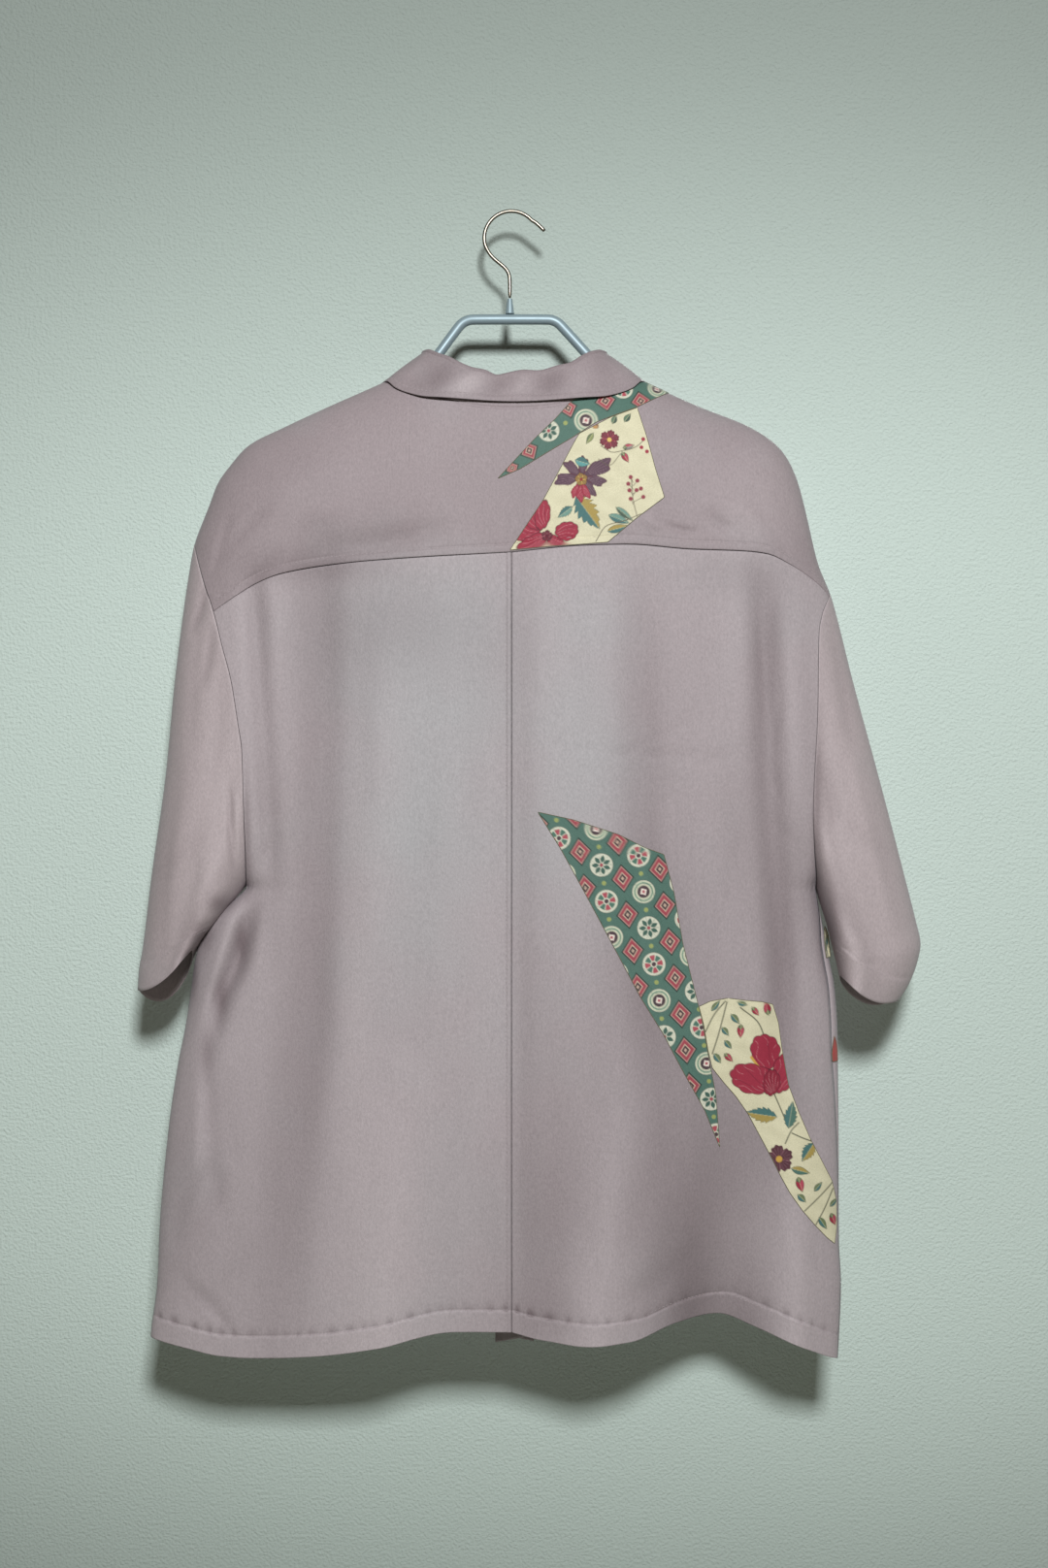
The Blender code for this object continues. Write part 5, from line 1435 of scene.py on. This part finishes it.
patch("patch_green_lower",
      [(18.0, -464.3), (34.9, -491.4), (53.5, -525.3), (67.1, -550.7), (79.8, -574.4),
       (95.9, -604.9), (112.8, -632), (128.1, -660.9), (145, -691.3), (156.9, -720.1)],
      [(18.0, -464.3), (45, -470.2), (79, -481.3), (99.3, -491.4), (113.7, -496.5),
       (121.3, -525.3), (128.1, -564.2), (135.7, -594.8), (142.5, -621.8), (148.4, -654.1),
       (153.5, -679.4), (156.9, -720.1)],
      GREEN, green_lower)
patch("patch_cream_lower",
      [(162.4, -605.7), (149.2, -607.9), (140.3, -611.9), (143.9, -625.7), (147.3, -645.4),
       (150.5, -658.7), (159.7, -670.4), (168.9, -681), (178.2, -694.2), (187.4, -711.3),
       (196.6, -728.4), (204.5, -744.2), (211.1, -756.1), (220.4, -769.3), (230.9, -781.7),
       (240.1, -791.6), (247.0, -797.6)],
      [(162.4, -605.7), (175.6, -607.5), (188.7, -608.9), (197.3, -611.2), (201.9, -625.7),
       (204.5, -644.1), (209.8, -673.1), (217.7, -694.2), (226.9, -715.2), (236.1, -732.4),
       (244.7, -748.9), (248.6, -765), (248.8, -785), (247.0, -797.6)],
      CREAM, cream_ribbon)


def side_leaf(paint, x, z):
    """A leaf and a stem in the cream corner."""
    leaf(paint, x, z, (240.0, -572.0), (242.6, -561.0), 1.6, TEAL, "#6d7a55")
    stem(paint, x, z, ((239.5, -553), (242, -560), (241, -576)), 0.5)


def plain_red(paint, x, z):
    """The red corner has no figure, only the silk's mottle."""
    lay(paint, "#b5584f", 0.15 + 0.1 * np.sin(x * 2 + z))


patch("patch_cream_side",
      [(241.0, -553.0), (239.2, -562.0), (239.6, -570.0), (240.6, -577.0)],
      [(241.0, -553.0), (243.4, -560.0), (244.4, -568.0), (245.4, -577.0)],
      CREAM, side_leaf)
patch("patch_red_side",
      [(246.6, -637.0), (245.2, -644.0), (244.4, -651.0), (244.8, -657.0)],
      [(246.6, -637.0), (248.8, -643.0), (249.6, -650.0), (249.9, -657.0)],
      "#b04a48", plain_red)


# The buttons: five four-hole shell buttons, dished on the face and sewn to the inner front
# through the outer one's worked buttonholes.
BUTTON_RADIUS, BUTTON_THICK = 5.75, 2.4
HOLE_RADIUS, HOLE_PLACE = 0.72, 1.25
DISH_RIM, DISH_STEP, DISH_DEEP = 1.3, 0.7, 0.6
BUTTONHOLE = (1.1, 7.4)   # half its width and half its height
BAR_RADIUS, WORKED_RADIUS = 0.2, 0.42


def shell_button():
    """One button at the origin, its face up."""
    bpy.ops.object.select_all(action="DESELECT")
    bpy.ops.mesh.primitive_cylinder_add(vertices=40, radius=BUTTON_RADIUS * MM,
                                        depth=BUTTON_THICK * MM, location=(0, 0, 0))
    button = bpy.context.object
    bpy.ops.object.mode_set(mode="EDIT")
    bpy.ops.mesh.select_all(action="DESELECT")
    cap = bmesh.from_edit_mesh(button.data)
    for face in cap.faces:
        face.select_set(face.normal.z > 0.9)
    bmesh.update_edit_mesh(button.data)
    bpy.ops.mesh.inset(thickness=DISH_RIM * MM)
    bpy.ops.mesh.inset(thickness=DISH_STEP * MM)
    bpy.ops.transform.translate(value=(0, 0, -DISH_DEEP * MM))
    bpy.ops.object.mode_set(mode="OBJECT")
    holes = []
    for x, y in ((-1, -1), (-1, 1), (1, -1), (1, 1)):
        bpy.ops.mesh.primitive_cylinder_add(vertices=14, radius=HOLE_RADIUS * MM, depth=8 * MM,
                                            location=(x * HOLE_PLACE * MM, y * HOLE_PLACE * MM, 0))
        holes.append(bpy.context.object)
    for hole in holes:
        cut = button.modifiers.new("hole", "BOOLEAN")
        cut.object = hole
        bpy.context.view_layer.objects.active = button
        bpy.ops.object.modifier_apply(modifier="hole")
        bpy.data.objects.remove(hole)
    rim = button.modifiers.new("rim", "BEVEL")
    rim.width = 0.35 * MM
    rim.segments = 3
    rim.angle_limit = math.radians(50)
    bpy.ops.object.modifier_apply(modifier="rim")
    bpy.ops.object.select_all(action="DESELECT")
    button.select_set(True)
    bpy.ops.object.shade_smooth_by_angle(angle=math.radians(40))
    return button


def shell():
    """Polished trochus shell: warm white with drifting pearly bands under a clear surface."""
    finish, shader = new_finish("polished trochus shell", Roughness=0.22, IOR=1.53,
                                Coat_Weight=0.3, Coat_Roughness=0.12)
    place = add_node(finish, "TexCoord").outputs["Object"]
    bands = add_node(finish, "TexWave", {"Vector": place, "Scale": 160.0, "Distortion": 6.0,
                                         "Detail": 2.0})
    colour = add_node(finish, "MixRGB", {"Fac": bands.outputs["Fac"],
                                         "Color1": (*linear("#e5dcd2"), 1),
                                         "Color2": (*linear("#cfc3bf"), 1)})
    finish.node_tree.links.new(colour.outputs[0], shader.inputs["Base Color"])
    return finish


button_pattern = shell_button()
button_pattern.data.materials.append(shell())
for number in range(1, 6):
    low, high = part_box("button_" + str(number))
    middle = [(a + b) / 2 for a, b in zip(low, high)]
    button = bpy.data.objects.new("shell_button_" + str(number), button_pattern.data.copy())
    bpy.context.scene.collection.objects.link(button)
    bpy.ops.object.select_all(action="DESELECT")
    button.select_set(True)
    bpy.context.view_layer.objects.active = button
    button.rotation_euler = (-math.pi / 2, 0, 0)
    button.location = middle
    bpy.ops.object.transform_apply(location=True, rotation=True, scale=True)
    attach(button, "root")
    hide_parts("button_" + str(number))
    face = high[1] / MM - 0.35
    x, z = middle[0] / MM, middle[2] / MM
    bars = []
    for row in (-1, 1):
        for drift in (-0.22, 0.22):
            height = z + row * HOLE_PLACE + drift
            bars.append([(x - 1.25, face - 0.9, height), (x - 1.0, face - 0.1, height),
                         (x, face + 0.05, height), (x + 1.0, face - 0.1, height),
                         (x + 1.25, face - 0.9, height)])
    turn = np.linspace(0, math.tau, 41)
    out, up = BUTTONHOLE[0] * np.sin(turn), z + BUTTONHOLE[1] * np.cos(turn)
    ring = points(LEFT, out, front_y(LEFT, out, up) + 0.15, up)
    sewing = add_thread("button_sewing_" + str(number), bars, BAR_RADIUS, silk_thread)
    worked = add_thread("buttonhole_" + str(number), [ring], WORKED_RADIUS, silk_thread)
    for thing in (sewing, worked):
        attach(thing, "root")
bpy.data.objects.remove(button_pattern)


# The hanger: one round aluminium tube bent to a bar, two steep legs and two shoulder arms,
# painted a satin silver; a nickel-plated wire hook stands in a tapered ferrule on the bar.
def round_copy(node, name, finish, grow):
    """The node's own shape, merged, grown a little and rounded, to stand for it."""
    piece = bpy.data.objects.new(name, bpy.data.objects[node].data.copy())
    bpy.context.scene.collection.objects.link(piece)
    bpy.ops.object.select_all(action="DESELECT")
    piece.select_set(True)
    bpy.context.view_layer.objects.active = piece
    bpy.ops.object.mode_set(mode="EDIT")
    bpy.ops.mesh.select_all(action="SELECT")
    bpy.ops.mesh.remove_doubles(threshold=0.00001)
    bpy.ops.mesh.tris_convert_to_quads(face_threshold=math.radians(30),
                                       shape_threshold=math.radians(60))
    bpy.ops.transform.shrink_fatten(value=grow * MM)
    bpy.ops.object.mode_set(mode="OBJECT")
    bpy.ops.object.shade_smooth()
    if grow:
        smooth = piece.modifiers.new("rounding", "SUBSURF")
        smooth.levels = smooth.render_levels = 2
    else:
        bpy.ops.object.shade_smooth_by_angle(angle=math.radians(35))
    piece.data.materials.clear()
    piece.data.materials.append(finish)
    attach(piece, "root")
    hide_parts(node)
    return piece


def satin_silver():
    """Silver paint on aluminium: broad soft highlights and a very fine orange peel."""
    finish, shader = new_finish("satin silver paint", Base_Color=(*linear("#8fa2a9"), 1),
                                Metallic=0.35)
    place = add_node(finish, "TexCoord").outputs["Object"]
    peel = add_node(finish, "TexNoise", {"Vector": place, "Scale": 900.0, "Detail": 2.0})
    wear = add_node(finish, "TexNoise", {"Vector": place, "Scale": 45.0, "Detail": 4.0})
    rough = add_node(finish, "MapRange", {"Value": wear.outputs["Fac"], "From Min": 0.3,
                                          "From Max": 0.7, "To Min": 0.44, "To Max": 0.56})
    bump = add_node(finish, "Bump", {"Height": peel.outputs["Fac"], "Strength": 0.12,
                                     "Distance": 0.0002})
    finish.node_tree.links.new(rough.outputs[0], shader.inputs["Roughness"])
    finish.node_tree.links.new(bump.outputs[0], shader.inputs["Normal"])
    return finish


def nickel():
    """Nickel plate on drawn wire, dulled by use: a warm grey with uneven soft highlights."""
    finish, shader = new_finish("nickel plate", Base_Color=(*linear("#7f796f"), 1),
                                Metallic=1.0)
    place = add_node(finish, "TexCoord").outputs["Object"]
    lines = add_node(finish, "TexNoise", {"Vector": place, "Scale": 600.0, "Detail": 3.0})
    rough = add_node(finish, "MapRange", {"Value": lines.outputs["Fac"], "From Min": 0.3,
                                          "From Max": 0.7, "To Min": 0.26, "To Max": 0.38})
    finish.node_tree.links.new(rough.outputs[0], shader.inputs["Roughness"])
    return finish


silver = satin_silver()
round_copy("hanger_tube", "painted_tube", silver, 0.18)
round_copy("hook_socket", "painted_ferrule", silver, 0.0)
round_copy("hanger_hook", "wire_hook", nickel(), 0.09)
